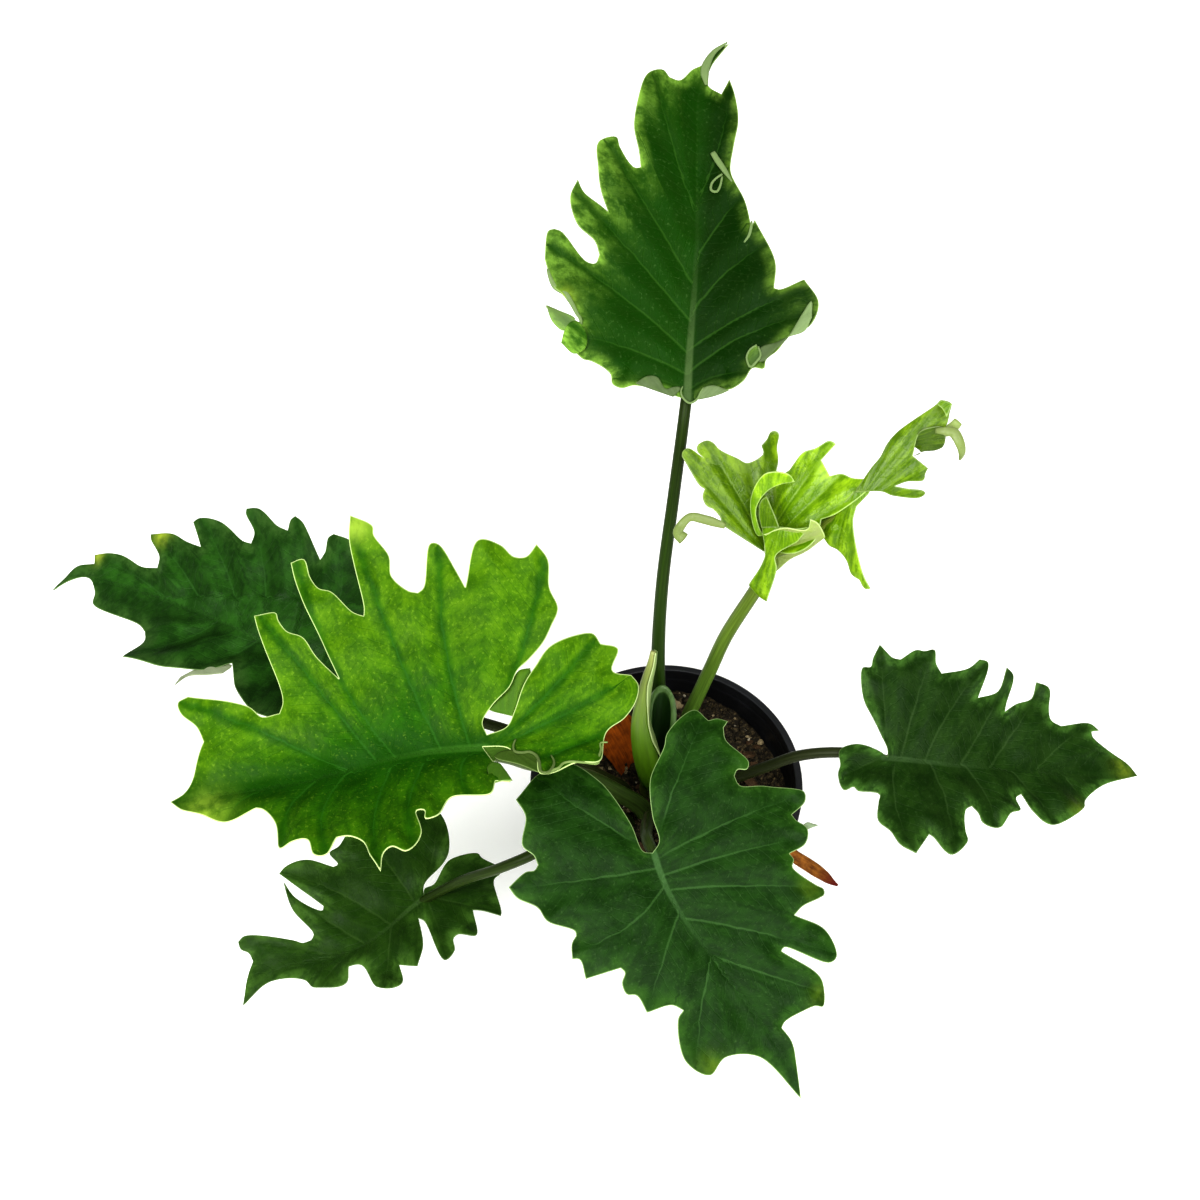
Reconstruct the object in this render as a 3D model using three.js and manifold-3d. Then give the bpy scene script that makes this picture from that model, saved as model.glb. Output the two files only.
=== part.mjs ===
// A potted Little Hope philodendron: seven lobed leaves on their stalks, a rolled new leaf and dry
// sheaths, standing in potting soil in a plain black nursery pot.
// Millimetres, +Z up. The origin is the centre of the pot's underside, and the front is towards -Y.

import * as THREE from "three";
import { mergeVertices } from "three/addons/utils/BufferGeometryUtils.js";
import Module from "manifold-3d";

const wasm = await Module();
wasm.setup();

// Driving dimensions of the pot and the soil.
const potHeight = 92;
const potRimRadius = 53; // outside of the rim band
const potBandHeight = 13; // depth of the rim band
const potBandStep = 1.8; // how far the band stands out of the wall
const potBaseRadius = 38;
const potWall = 1.6;
const potFloor = 2.4;
const potLip = 3; // width of the flat lip on the rim
const potLipBevel = 0.6;
const potLedgeDepth = 5.5; // inner ledge below the rim
const potLedgeSlope = 1.2;
const potSides = 48;
const drainHoleRadius = 4;
const drainHoleRing = 27; // distance of the drain holes from the axis
const drainHoleCount = 6;
const soilTop = 80;
const soilDip = 5; // the soil is lower towards the wall on the right
const soilDipSpan = [15, 48]; // the slope runs between these distances to the right
const soilSettle = 1; // how far the bare surface lies under the top of the soil
const soilRings = 11;
const soilSides = 40;
const soilLumps = 46; // seeded lumps of bark and grit in the surface
const soilLumpHeight = 2.6;
const soilLumpSizes = [3, 7]; // radii of the lumps
const soilLumpSpread = 45; // the lumps lie within this distance of the axis
const fitGap = 0.35; // clear space between touching pieces

// Driving dimensions of the foliage.
const bladeThickness = 0.8;
const bladeMesh = 7; // spacing of the points inside a blade
const marginStep = 5; // spacing of the points along a blade's edge
const sheetMesh = 5; // the same two for the sheets of the young leaf
const sheetStep = 3;
const curlMesh = { step: 3, sides: 6 };
const creaseWidth = 6; // how softly a blade folds at its midrib
const stalkSides = 8;
const stalkStep = 9; // spacing of the rings along a stalk
const ribReach = 0.5; // part of the blade's length that the stalk runs on under it as the midrib
const ribStart = 0.08; // where the stalk has come under the blade, as a part of that reach
const ribEndRadius = 0.7;
const ribSink = 0.6; // depth of the midrib's centre under the blade, in its own radii
const girthSteps = 12; // stretches along a stalk between which its radius changes evenly
const normalProbe = 0.2; // distance over which a blade's slope is measured

// The leaves. Each blade is drawn flat, x across it and y from its stalk to its tip, and margin goes
// round its edge clockwise from the stalk. Each inner list is one smooth stretch, and the stretches
// meet at sharp points. fold is how far each half rises from the midrib, in degrees; droop and arch
// are the radii at which the blade curves down along and across its midrib, or up where they are
// negative. heading is counted from +X towards +Y, pitch is the rise of the midrib, and roll lowers
// the blade's right half. The young leaf is still uncurling: its blade is cupped, so it is drawn as
// sheets, each with its own frame and margin, that meet at the midrib and at its folds, and its curls
// are rolled bits of margin.
const leaves = {
  leaf_tall: {
    colour: "#2f5a26", joint: [4, 70, 236], heading: 84, pitch: 34, roll: 4,
    foldLeft: 16, foldRight: 19, droop: 400, arch: 0,
    stalk: [[-1, 14, 66], [-1, 15, 80], [-2, 18, 95], [-3, 21, 110], [-4, 29, 140], [-3, 40, 170],
      [0, 53, 200], [3, 66, 229]],
    girth: [2.7, 2],
    margin: [
      [[-1.5, -1], [-18, 1.5], [-22.5, 0], [-26, 1], [-27, 4], [-33.5, 7.5], [-36.5, 8], [-43.5, 15],
        [-43.5, 17.5]], [[-50.5, 23.5], [-38, 20], [-45.5, 28], [-48, 29.5]], [[-50.5, 35]],
      [[-52, 39], [-52, 48]], [[-50, 49], [-47.5, 48.5], [-38, 40.5], [-35, 40.5]],
      [[-34, 43.5], [-36, 47.5], [-42.5, 52], [-45.5, 61]], [[-43.5, 68], [-41, 63.5]],
      [[-32.5, 58.5], [-37, 71.5], [-37.5, 83], [-32, 85.5], [-30.5, 82], [-24.5, 76.5]],
      [[-22.5, 77], [-26, 92.5], [-23, 112.5], [-17.5, 116]],
      [[-15, 113.5], [-11.5, 113], [-7.5, 118], [-3, 122], [0.5, 128]],
      [[5, 131], [-0.5, 121.5], [-1.5, 113.5]], [[3.5, 110]],
      [[6, 116], [8.5, 108.5], [10, 97.5], [8.5, 80.5], [14, 69]], [[17, 59]], [[18, 61.5], [25.5, 47]],
      [[26, 37.5], [28, 37]],
      [[35.5, 40.5], [40.5, 33], [38.5, 25], [32.5, 21.5], [28.5, 16.5], [25, 13.5], [24.5, 10.5],
        [21, 10.5], [18.5, 6], [14, 3], [7.5, 3], [3.5, -1], [1, -2.5]],
    ],
  },
  leaf_front: {
    colour: "#2c5a2a", joint: [-7, -55, 140], heading: -57, pitch: -14, roll: 4,
    foldLeft: 8, foldRight: 8, droop: 260, arch: 170,
    stalk: [[-1, -11, 66], [-2, -13, 84], [-7, -23, 106], [-9, -37, 124], [-9, -48, 135]],
    girth: [2.7, 2.1],
    margin: [
      [[0.5, -0.5], [-3.5, -2.5], [-6.5, -11.5], [-13, -23], [-23.5, -30.5], [-27, -34], [-40.5, -37]],
      [[-42.5, -31], [-45.5, -30]], [[-48, -27]],
      [[-45, -25.5], [-43, -21], [-46, -10.5], [-44, -8.5], [-41, -10]],
      [[-38.5, -8.5], [-38, -4.5], [-55, 7.5]], [[-55.5, 11]],
      [[-48.5, 13.5], [-48.5, 16], [-50, 20.5], [-47, 24.5]], [[-40, 24.5], [-40, 27], [-38, 29]],
      [[-43, 42], [-34, 42]], [[-30, 43], [-37, 53], [-35.5, 62.5], [-32, 63], [-21.5, 50.5]],
      [[-20, 51], [-27, 66.5], [-23, 74.5], [-20, 72.5], [-9, 72]], [[-7, 73], [-7.5, 79]],
      [[-1, 97.5], [5, 77], [15, 71], [22.5, 73], [27.5, 64], [22.5, 51.5]], [[19.5, 50], [22, 46.5]],
      [[30.5, 44], [30.5, 37.5], [33, 35.5], [32.5, 31.5], [30, 29]], [[30.5, 27]],
      [[42, 24], [40.5, 17.5]], [[42.5, 16], [40, 11.5]],
      [[37.5, 10], [37, 8.5], [43, 1], [43.5, -5], [47.5, -11.5]],
      [[48, -16], [40.5, -17.5], [38, -16.5]], [[36, -17.5], [35.5, -21], [37, -26], [31, -34]],
      [[30.5, -41.5], [19, -45.5], [16, -43.5], [10, -43.5], [6.5, -41.5], [2.5, -32], [1.5, -26],
        [1.5, -12.5], [3, -2.5]],
    ],
  },
  leaf_right: {
    colour: "#2a5526", joint: [80, -9, 125], heading: -2, pitch: 2, roll: 6,
    foldLeft: 10, foldRight: 10, droop: 260, arch: 0,
    stalk: [[9, -1, 66], [10, -1, 82], [19, -3, 92], [28, -3, 100], [38, -3, 108], [49, -3, 116],
      [64, -5, 122]],
    girth: [2.5, 1.9],
    margin: [
      [[-0.5, 0.5], [-4, 0.5], [-23, -7.5], [-34.5, -7.5], [-35, -4.5], [-38.5, -3.5]],
      [[-43.5, -1], [-38.5, 3.5]], [[-38, 6.5], [-42, 12.5], [-41.5, 15.5], [-42, 19], [-36.5, 19.5]],
      [[-33, 21.5], [-36, 32]], [[-39.5, 36], [-38.5, 39]], [[-24.5, 35], [-28, 43]],
      [[-37, 46], [-34, 48.5]], [[-20, 45], [-23, 49], [-26.5, 56]],
      [[-32.5, 57.5], [-30.5, 62.5], [-18.5, 63]], [[-16.5, 66.5], [-19.5, 79]], [[-17, 82.5]],
      [[-16, 79], [-14, 79.5], [-6.5, 94]],
      [[-2, 98.5], [4.5, 82.5], [12, 74], [15.5, 72.5], [23.5, 59], [19, 51.5]],
      [[12, 49], [13.5, 47], [19, 47.5], [21, 43.5], [26.5, 39], [25.5, 32.5], [22.5, 31.5]],
      [[19, 29.5], [20, 27.5], [29.5, 26], [34, 26], [39, 20], [32, 14.5]], [[31, 13]],
      [[39.5, 7.5], [36, 2.5], [30, -0.5], [25.5, -4.5], [18.5, -4], [15.5, -3.5], [14, -11], [12, -12.5],
        [13, -16], [7, -18], [3, -17], [-3, -17], [-5.5, -11], [-3, -3]],
    ],
  },
  leaf_low_left: {
    colour: "#24481f", joint: [-95, -35, 60], heading: -153, pitch: -4, roll: 0,
    foldLeft: 11, foldRight: 11, droop: 240, arch: 0,
    stalk: [[-14, -13, 66], [-15, -13, 82], [-22, -16, 93], [-31, -23, 99], [-41, -31, 103],
      [-51, -37, 102], [-64, -39, 94], [-79, -37, 79]],
    girth: [2.4, 1.8],
    margin: [
      [[0.5, 0], [3, -1.5], [3, -5.5], [9.5, -15.5], [7, -26.5], [5, -27], [-2.5, -32], [-4.5, -31],
        [-6, -27.5], [-20.5, -24]], [[-22, -23]],
      [[-15, -14.5], [-26, -11], [-22, -5], [-22.5, -3], [-27, -1.5], [-29.5, 3.5], [-9, 4]],
      [[-7, 5.5], [-20, 8.5]], [[-26.5, 13.5]],
      [[-21.5, 19.5], [-29.5, 21], [-30, 25], [-25.5, 30.5], [-14, 32.5]],
      [[-12, 37], [-17, 40.5], [-12, 52.5], [-6, 55.5], [1, 68.5]], [[-1, 82], [9, 74.5]],
      [[12, 71], [15.5, 71], [18.5, 73]], [[21.5, 72.5], [22, 69], [10.5, 53], [7.5, 50]],
      [[6.5, 46.5], [8, 44.5], [21.5, 48]], [[32.5, 46], [25, 45], [14.5, 37.5]], [[16, 36.5]],
      [[36.5, 46.5], [37.5, 43], [35.5, 34.5]],
      [[28, 26.5], [28, 24.5], [33.5, 25.5], [34, 21], [37, 15], [35, 1], [34.5, -14], [27.5, -20],
        [12, -16], [4.5, -2]],
    ],
  },
  leaf_bright: {
    colour: "#4f8a1e", joint: [-66, -28, 166], heading: -171, pitch: 2, roll: -4,
    foldLeft: 27, foldRight: 19, droop: 420, arch: 0,
    stalk: [[-9, -8, 66], [-9, -8, 82], [-19, -9, 98], [-30, -10, 112], [-41, -14, 126], [-51, -21, 142],
      [-59, -26, 156]],
    girth: [3.1, 2.1],
    margin: [
      [[0.5, 0], [-7.5, -3.5], [-12.5, -6.5], [-16, -7.5]],
      [[-16, -2.5], [-22, 0], [-19.5, 12.5], [-27.5, 17.5], [-29, 21.5], [-25.5, 21.5], [-25, 24],
        [-33.5, 23], [-42, 28], [-39, 32.5], [-40.5, 35]],
      [[-48, 36], [-41.5, 39], [-33.5, 41.5], [-31.5, 45]],
      [[-31.5, 49.5], [-36.5, 53], [-35.5, 57], [-30, 59], [-29.5, 64], [-30.5, 68], [-19, 70.5],
        [-12.5, 75]], [[-11, 77.5], [-13, 88], [-8, 97], [-4, 104.5]], [[0.5, 109], [3, 103]],
      [[18, 94.5], [23.5, 96.5], [28.5, 100.5], [32.5, 101]], [[34, 97.5], [26.5, 77.5], [22, 73]],
      [[22, 67], [26, 65.5], [52, 70.5]],
      [[56, 71], [55.5, 63.5], [53, 63], [48.5, 60.5], [45.5, 55.5], [38.5, 52]],
      [[30, 45.5], [64, 55.5]], [[71, 56], [71.5, 51.5], [65.5, 50.5], [61, 48], [59, 44], [51.5, 38]],
      [[49.5, 34.5], [52.5, 34], [76, 36]],
      [[84, 34.5], [79, 27.5], [76, 27.5], [68.5, 23.5], [61.5, 23.5], [55.5, 18.5]],
      [[54.5, 15.5], [56, 13.5], [70.5, 9.5], [70, 6.5]],
      [[54.5, -0.5], [70, -6.5], [68, -14], [63.5, -18], [63, -22]],
      [[67, -26], [61.5, -29.5], [52, -29], [44.5, -31], [38.5, -28], [33.5, -24.8], [28.5, -19.5],
        [25, -15], [19.5, -11.5], [14, -4.8], [9, -1]],
      [[4.5, -2], [6.5, -9], [12, -12.5], [20, -16.5], [26, -21.3], [32, -27], [35.5, -42]],
      [[31.5, -44.5], [29.5, -50.5], [22.5, -48]],
      [[20.5, -54.5], [17, -56.5], [11.5, -55], [6, -50.5], [1.5, -43.5], [-12, -38], [-11, -29.5],
        [-14.5, -17.5], [-6.5, -17], [-4.5, -11.5], [-1, -8]],
    ],
  },
  leaf_back_left: {
    colour: "#29502a", joint: [-126, 24, 124], heading: 158, pitch: 6, roll: -4,
    foldLeft: 33, foldRight: 16, droop: 300, arch: 0,
    stalk: [[-15, 1, 66], [-16, 1, 82], [-26, 3, 90], [-42, 9, 98], [-62, 14, 106], [-91, 18, 115],
      [-112, 21, 121]],
    girth: [2.5, 1.9],
    margin: [
      [[-0.5, 0], [-4, -12], [-14, -20], [-24, -14], [-27, 2], [-28.5, 15], [-24, 26.5]],
      [[-9.5, 39.5], [-20.5, 51], [-23, 67.5]], [[-25, 75], [-12, 77]],
      [[-7, 81], [-4.5, 86], [0, 113], [5, 115], [9.5, 119.5], [10, 126.5]],
      [[2.5, 137.5], [8.5, 134.5], [14, 129]], [[16.5, 122]], [[20, 123.5], [22, 110.5], [19, 97]],
      [[20, 90.5], [24.5, 92], [30.5, 99]], [[32.5, 100], [34.5, 89.5], [33, 82.5]], [[32.5, 76]],
      [[41, 83], [43, 81], [44, 72], [39, 59]], [[39, 55.5], [43.5, 56.5], [49.5, 62.5]],
      [[51.5, 63], [53, 58.5], [48.5, 48]], [[48, 43.5], [52.5, 44.5]], [[54.5, 43.5], [53, 39.5]],
      [[41.5, 27], [45, 26.5], [50.5, 27.5]],
      [[52.5, 26], [52, 18], [44, 6], [32, -8], [20, -18], [10, -14], [4, -3]],
    ],
  },
  leaf_young: {
    colour: "#84ab2c", joint: [31, 30, 200],
    stalk: [[6, 22, 66], [6, 22, 82], [9, 24, 100], [12, 26, 111], [16, 28, 127], [21, 29, 150],
      [28, 30, 178]],
    girth: [3, 2.4],
    rib: [[31, 30, 200], [42, 30, 205], [50, 33, 211], [62, 36, 226]],
    sheets: {
      fan: {
        joint: [31, 30, 200], heading: 146, pitch: 42, roll: -19,
        foldLeft: 0, foldRight: 0, droop: 150, arch: -45,
        margin: [
          [[0, 0.5]], [[-5.5, 18], [-4, 20.5]], [[-4, 24], [-5, 26.5], [-4, 29.5]],
          [[-1.5, 31], [-2, 33], [0, 42.5], [0.5, 44.5], [2, 45.5], [4, 45]],
          [[5.5, 39], [5.5, 42], [7, 43.5], [10.5, 42.5], [11.5, 40.5], [11.5, 37.5], [14, 31],
            [15.5, 27.5], [21.5, 26.5]],
          [[23, 29], [26, 29.5], [28.5, 30.5], [30, 30], [30.5, 28.5], [26.5, 25], [24, 21.5]],
          [[21, 19], [13, 5], [4.5, 0]],
        ],
      },
      wall: {
        joint: [31, 30, 200], heading: 10, pitch: 40, roll: 16,
        foldLeft: 0, foldRight: 0, droop: 0, arch: -40,
        margin: [
          [[-1, 0.5], [-8, 3], [-14.5, 7.5]], [[-20, 18.5]],
          [[-20, 22.5], [-22.5, 30], [-21.5, 34.5]], [[-21.5, 39], [-21, 40.5]], [[-19, 41.5]],
          [[-17, 34]], [[-11, 33.5], [-9.5, 37.5], [-6.5, 40]], [[-4, 43.5]],
          [[0, 44.5], [1, 38.5], [1.5, 29]], [[0.5, 24], [6, 19], [6, 10]],
        ],
      },
      front: {
        joint: [36, 30, 215], heading: -106, pitch: -52, roll: 11,
        foldLeft: 0, foldRight: 0, droop: 60, arch: 24,
        margin: [
          [[7.5, 2.5], [1.5, 0.5], [-4.5, -0.5]], [[-9, -2]], [[-6, 4], [0.5, 11], [-0.5, 16]],
          [[2, 31], [6, 30]], [[9.5, 27], [5, 15], [4.5, 11]],
        ],
      },
      keel: {
        joint: [31, 30, 200], heading: -9, pitch: 29, roll: -88,
        foldLeft: 0, foldRight: 0, droop: 0, arch: 0,
        margin: [
          [[9.5, 4]], [[0, 0]], [[-11, -0.5], [-6.5, 7], [-4, 13.5]],
          [[2, 23.5], [4.5, 24], [9.5, 24]], [[12.5, 22.5], [8.5, 19.5], [11, 13]],
        ],
      },
      hanging: {
        joint: [62, 36, 227], heading: -83, pitch: -44, roll: 25,
        foldLeft: 0, foldRight: 0, droop: 110, arch: 34,
        margin: [
          [[1, -1], [-2.5, 0]], [[2.5, 5.5], [4, 10.5], [2.5, 29]], [[0.5, 35], [2.5, 35]],
          [[4, 31.5], [6.5, 29.5], [8, 24.5], [11, 21], [14, 19.5]],
          [[15.5, 17], [15.5, 13.5], [16.5, 9.5], [11, 7]],
        ],
      },
      distal: {
        joint: [64, 35, 228], heading: 36, pitch: 44, roll: 20,
        foldLeft: 0, foldRight: 0, droop: 160, arch: 26,
        margin: [
          [[-3.5, -3.5], [-4.5, 6.5], [-4.5, 11], [-5.5, 15.5], [-5.5, 21], [-1.5, 36],
            [-1.5, 37.5], [2, 39], [3.5, 36.5], [5.5, 32.5], [5.5, 31], [2, 28], [0.5, 25]],
          [[3.5, 18]], [[10, 18], [10.5, 16], [11.5, 14], [7.5, 10]],
          [[5.5, 6.5], [9.5, 8.5], [13.5, 11], [15, 11], [14.5, 8.5], [7, 3.5], [3.5, 2.5]],
        ],
      },
      collar: {
        joint: [30, 30, 201], heading: 83, pitch: 71, roll: -5,
        foldLeft: 0, foldRight: 0, droop: 0, arch: 20,
        margin: [
          [[1.5, 0], [-1.5, 0], [-3.5, 7], [-6, 18.5], [-2.5, 30.5], [1.5, 32.5], [6, 31.5]],
          [[8.5, 28.5], [4.5, 28], [0, 25], [-3.5, 17], [-2, 10]],
        ],
      },
      inner: {
        joint: [30, 31, 212], heading: 91, pitch: 56, roll: -18,
        foldLeft: 0, foldRight: 0, droop: 0, arch: -20,
        margin: [
          [[-1, 0.5], [-2, 5], [-1.5, 10]], [[0.5, 12]], [[5.5, 1.5]],
        ],
      },
      pocket: {
        joint: [78, 46, 242], heading: 0, pitch: 23, roll: 79,
        foldLeft: 0, foldRight: 0, droop: 0, arch: 0,
        margin: [
          [[2.5, -1.5], [-2.5, 3], [-1.5, 10], [6.5, 8], [7.5, 5], [6.5, 1.5]],
          [[7, -2], [6.5, 0.5]],
        ],
      },
    },
    curls: {
      left: {
        path: [[17, 34, 210], [10, 36, 211], [5, 37, 211], [2, 35, 209], [1, 34, 206], [3, 33, 204]],
        radii: [1, 1.3, 1.2, 1.1, 1.3, 1.6],
      },
      hook: {
        path: [[84, 45, 246], [87, 45, 247], [90, 44, 247], [92, 41, 245], [93, 40, 242],
          [93, 40, 238]],
        radii: [0.8, 1.2, 1.4, 1.2, 0.9, 0.4],
      },
      bud: { path: [[86, 45, 246], [90, 47, 246], [92, 49, 247]], radii: [1.2, 1.6, 1.2] },
    },
  },
};

const rad = THREE.MathUtils.degToRad;
const vec = (p) => new THREE.Vector3(...p);
const smoothstep = THREE.MathUtils.smoothstep;

// A seeded draw between 0 and 1, the same on each run.
function makeRandom(seed) {
  let state = seed;
  return () => {
    state = (state * 1664525 + 1013904223) % 4294967296;
    return state / 4294967296;
  };
}

function toSolid(geometry) {
  const bare = geometry.clone();
  bare.deleteAttribute("normal");
  bare.deleteAttribute("uv");
  const merged = mergeVertices(bare, 1e-4);
  const mesh = new wasm.Mesh({
    numProp: 3,
    vertProperties: new Float32Array(merged.attributes.position.array),
    triVerts: new Uint32Array(merged.index.array),
  });
  return new wasm.Manifold(mesh);
}

function toGeometry(solid) {
  const { vertProperties, triVerts } = solid.getMesh();
  return meshFrom(vertProperties, triVerts);
}

function meshFrom(positions, triangles) {
  const geometry = new THREE.BufferGeometry();
  geometry.setAttribute("position", new THREE.BufferAttribute(new Float32Array(positions), 3));
  geometry.setIndex([...triangles]);
  geometry.computeVertexNormals();
  return geometry;
}

function joined(...geometries) {
  return toGeometry(geometries.map(toSolid).reduce((whole, next) => whole.add(next)));
}

// A closed round bar along a smooth curve, with a radius at each end and an optional flattening.
function stalkGeometry(points, radii, { step = stalkStep, sides = stalkSides, flat = 1 } = {}) {
  const curve = new THREE.CatmullRomCurve3(points.map((p) => (p.isVector3 ? p : vec(p))));
  const rings = Math.max(3, Math.round(curve.getLength() / step));
  const frames = curve.computeFrenetFrames(rings, false);
  const positions = [];
  const triangles = [];
  for (let i = 0; i <= rings; i++) {
    const t = i / rings;
    const centre = curve.getPointAt(t);
    const along = t * (radii.length - 1);
    const k = Math.min(Math.floor(along), radii.length - 2);
    const radius = THREE.MathUtils.lerp(radii[k], radii[k + 1], along - k);
    for (let j = 0; j < sides; j++) {
      const a = (j / sides) * 2 * Math.PI;
      const p = centre.clone()
        .addScaledVector(frames.normals[i], radius * flat * Math.cos(a))
        .addScaledVector(frames.binormals[i], radius * Math.sin(a));
      positions.push(p.x, p.y, p.z);
      if (i < rings) {
        const [a0, a1] = [i * sides + j, i * sides + ((j + 1) % sides)];
        triangles.push(a0, a1, a1 + sides, a0, a1 + sides, a0 + sides);
      }
    }
  }
  for (let j = 1; j < sides - 1; j++) {
    const top = rings * sides;
    triangles.push(0, j + 1, j, top, top + j, top + j + 1);
  }
  return meshFrom(positions, triangles);
}

// The edge of a blade as a ring of flat points.
function marginPoints(runs, step) {
  const ring = [];
  runs.forEach((run, i) => {
    const next = runs[(i + 1) % runs.length][0];
    const curve = new THREE.CatmullRomCurve3([...run, next].map(([x, y]) => new THREE.Vector3(x, y, 0)));
    const count = Math.max(1, Math.round(curve.getLength() / step));
    curve.getSpacedPoints(count).slice(0, -1).forEach((p) => ring.push([p.x, p.y]));
  });
  return ring.reverse();
}

function isInside([x, y], ring) {
  let inside = false;
  for (let i = 0, j = ring.length - 1; i < ring.length; j = i++) {
    const [xi, yi] = ring[i];
    const [xj, yj] = ring[j];
    if (yi > y !== yj > y && x < ((xj - xi) * (y - yi)) / (yj - yi) + xi) inside = !inside;
  }
  return inside;
}

function distanceToRing([x, y], ring) {
  let nearest = Infinity;
  for (let i = 0, j = ring.length - 1; i < ring.length; j = i++) {
    const [ax, ay] = ring[j];
    const [dx, dy] = [ring[i][0] - ax, ring[i][1] - ay];
    const t = THREE.MathUtils.clamp(((x - ax) * dx + (y - ay) * dy) / (dx * dx + dy * dy || 1), 0, 1);
    nearest = Math.min(nearest, Math.hypot(x - ax - t * dx, y - ay - t * dy));
  }
  return nearest;
}

// Delaunay triangles of flat points, one point added at a time.
function delaunay(points) {
  const far = 1e4;
  const all = [...points, [-far, -far], [far, -far], [0, far]];
  const n = points.length;
  const circle = (a, b, c) => {
    const [ax, ay] = all[a];
    const [bx, by] = [all[b][0] - ax, all[b][1] - ay];
    const [cx, cy] = [all[c][0] - ax, all[c][1] - ay];
    const d = 2 * (bx * cy - by * cx);
    const ux = (cy * (bx * bx + by * by) - by * (cx * cx + cy * cy)) / d;
    const uy = (bx * (cx * cx + cy * cy) - cx * (bx * bx + by * by)) / d;
    return { corners: [a, b, c], x: ax + ux, y: ay + uy, r2: ux * ux + uy * uy };
  };
  let triangles = [circle(n, n + 1, n + 2)];
  for (let i = 0; i < n; i++) {
    const [x, y] = all[i];
    const edges = new Map();
    triangles = triangles.filter((t) => {
      if ((x - t.x) ** 2 + (y - t.y) ** 2 > t.r2) return true;
      t.corners.forEach((a, k) => {
        const b = t.corners[(k + 1) % 3];
        const back = `${b},${a}`;
        if (edges.has(back)) edges.delete(back);
        else edges.set(`${a},${b}`, [a, b]);
      });
      return false;
    });
    edges.forEach(([a, b]) => triangles.push(circle(a, b, i)));
  }
  return triangles.map((t) => t.corners).filter((t) => t.every((k) => k < n));
}

// Triangles inside a ring, with a staggered grid of points between. A stretch of the ring that the
// triangles don't follow is halved until they do.
function fillRing(ring, spacing) {
  const random = makeRandom(7);
  const shake = 0.2; // keeps four points off one circle
  const clear = spacing * 0.45; // from the ring to the nearest point inside it
  const inner = [];
  const xs = ring.map((p) => p[0]);
  const ys = ring.map((p) => p[1]);
  const rise = spacing * Math.sqrt(3) / 2;
  for (let row = 0, y = Math.min(...ys); y < Math.max(...ys); y += rise, row++) {
    for (let x = Math.min(...xs) + (row % 2) * spacing / 2; x < Math.max(...xs); x += spacing) {
      const p = [x + (random() - 0.5) * shake, y + (random() - 0.5) * shake];
      if (isInside(p, ring) && distanceToRing(p, ring) > clear) inner.push(p);
    }
  }
  let edge = ring;
  for (;;) {
    const triangles = delaunay([...edge, ...inner]);
    const sides = new Set(triangles.flatMap(([a, b, c]) => [`${a},${b}`, `${b},${c}`, `${c},${a}`]));
    const finer = [];
    edge.forEach((p, i) => {
      const j = (i + 1) % edge.length;
      finer.push(p);
      if (!sides.has(`${i},${j}`) && !sides.has(`${j},${i}`)) {
        finer.push([(p[0] + edge[j][0]) / 2, (p[1] + edge[j][1]) / 2]);
      }
    });
    if (finer.length === edge.length) {
      const points = [...edge, ...inner];
      const kept = triangles.filter((t) => {
        const middle = [0, 1].map((k) => t.reduce((sum, i) => sum + points[i][k], 0) / 3);
        return isInside(middle, edge);
      });
      return { points, triangles: kept, edgeCount: edge.length };
    }
    edge = finer;
  }
}

// Where a flat point of a blade lies once it is folded and curved, in the blade's own frame.
function formBlade(leaf, x, y) {
  const lift = Math.tan(rad(x > 0 ? leaf.foldRight : leaf.foldLeft));
  let p = [x, y, lift * (Math.hypot(x, creaseWidth) - creaseWidth)];
  if (leaf.arch) {
    const a = p[0] / leaf.arch;
    p = [(leaf.arch + p[2]) * Math.sin(a), p[1], (leaf.arch + p[2]) * Math.cos(a) - leaf.arch];
  }
  if (leaf.droop) {
    const a = p[1] / leaf.droop;
    p = [p[0], (leaf.droop + p[2]) * Math.sin(a), (leaf.droop + p[2]) * Math.cos(a) - leaf.droop];
  }
  return vec(p);
}

// The frame in which a blade stands at the end of its stalk.
function bladeFrame({ joint, heading, pitch, roll }) {
  const [h, e, r] = [heading, pitch, roll].map(rad);
  const along = new THREE.Vector3(Math.cos(e) * Math.cos(h), Math.cos(e) * Math.sin(h), Math.sin(e));
  const across = new THREE.Vector3(Math.sin(h), -Math.cos(h), 0).applyAxisAngle(along, r);
  const up = new THREE.Vector3().crossVectors(across, along);
  return new THREE.Matrix4().makeBasis(across, along, up).setPosition(...joint);
}

function bladeNormal(leaf, x, y) {
  const slope = (dx, dy) => formBlade(leaf, x + dx, y + dy).sub(formBlade(leaf, x - dx, y - dy));
  return slope(normalProbe, 0).cross(slope(0, normalProbe)).normalize();
}

function bladeGeometry(leaf, { thickness = bladeThickness, step = marginStep, spacing = bladeMesh } = {}) {
  const { points, triangles, edgeCount } = fillRing(marginPoints(leaf.margin, step), spacing);
  const frame = bladeFrame(leaf);
  const positions = [];
  for (const side of [0.5, -0.5]) {
    points.forEach(([x, y]) => {
      const p = formBlade(leaf, x, y).addScaledVector(bladeNormal(leaf, x, y), side * thickness);
      positions.push(...p.applyMatrix4(frame).toArray());
    });
  }
  const n = points.length;
  const faces = [];
  triangles.forEach(([a, b, c]) => faces.push(a, b, c, n + a, n + c, n + b));
  for (let i = 0; i < edgeCount; i++) {
    const j = (i + 1) % edgeCount;
    faces.push(i, n + i, n + j, i, n + j, j);
  }
  return meshFrom(positions, faces);
}

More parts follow.
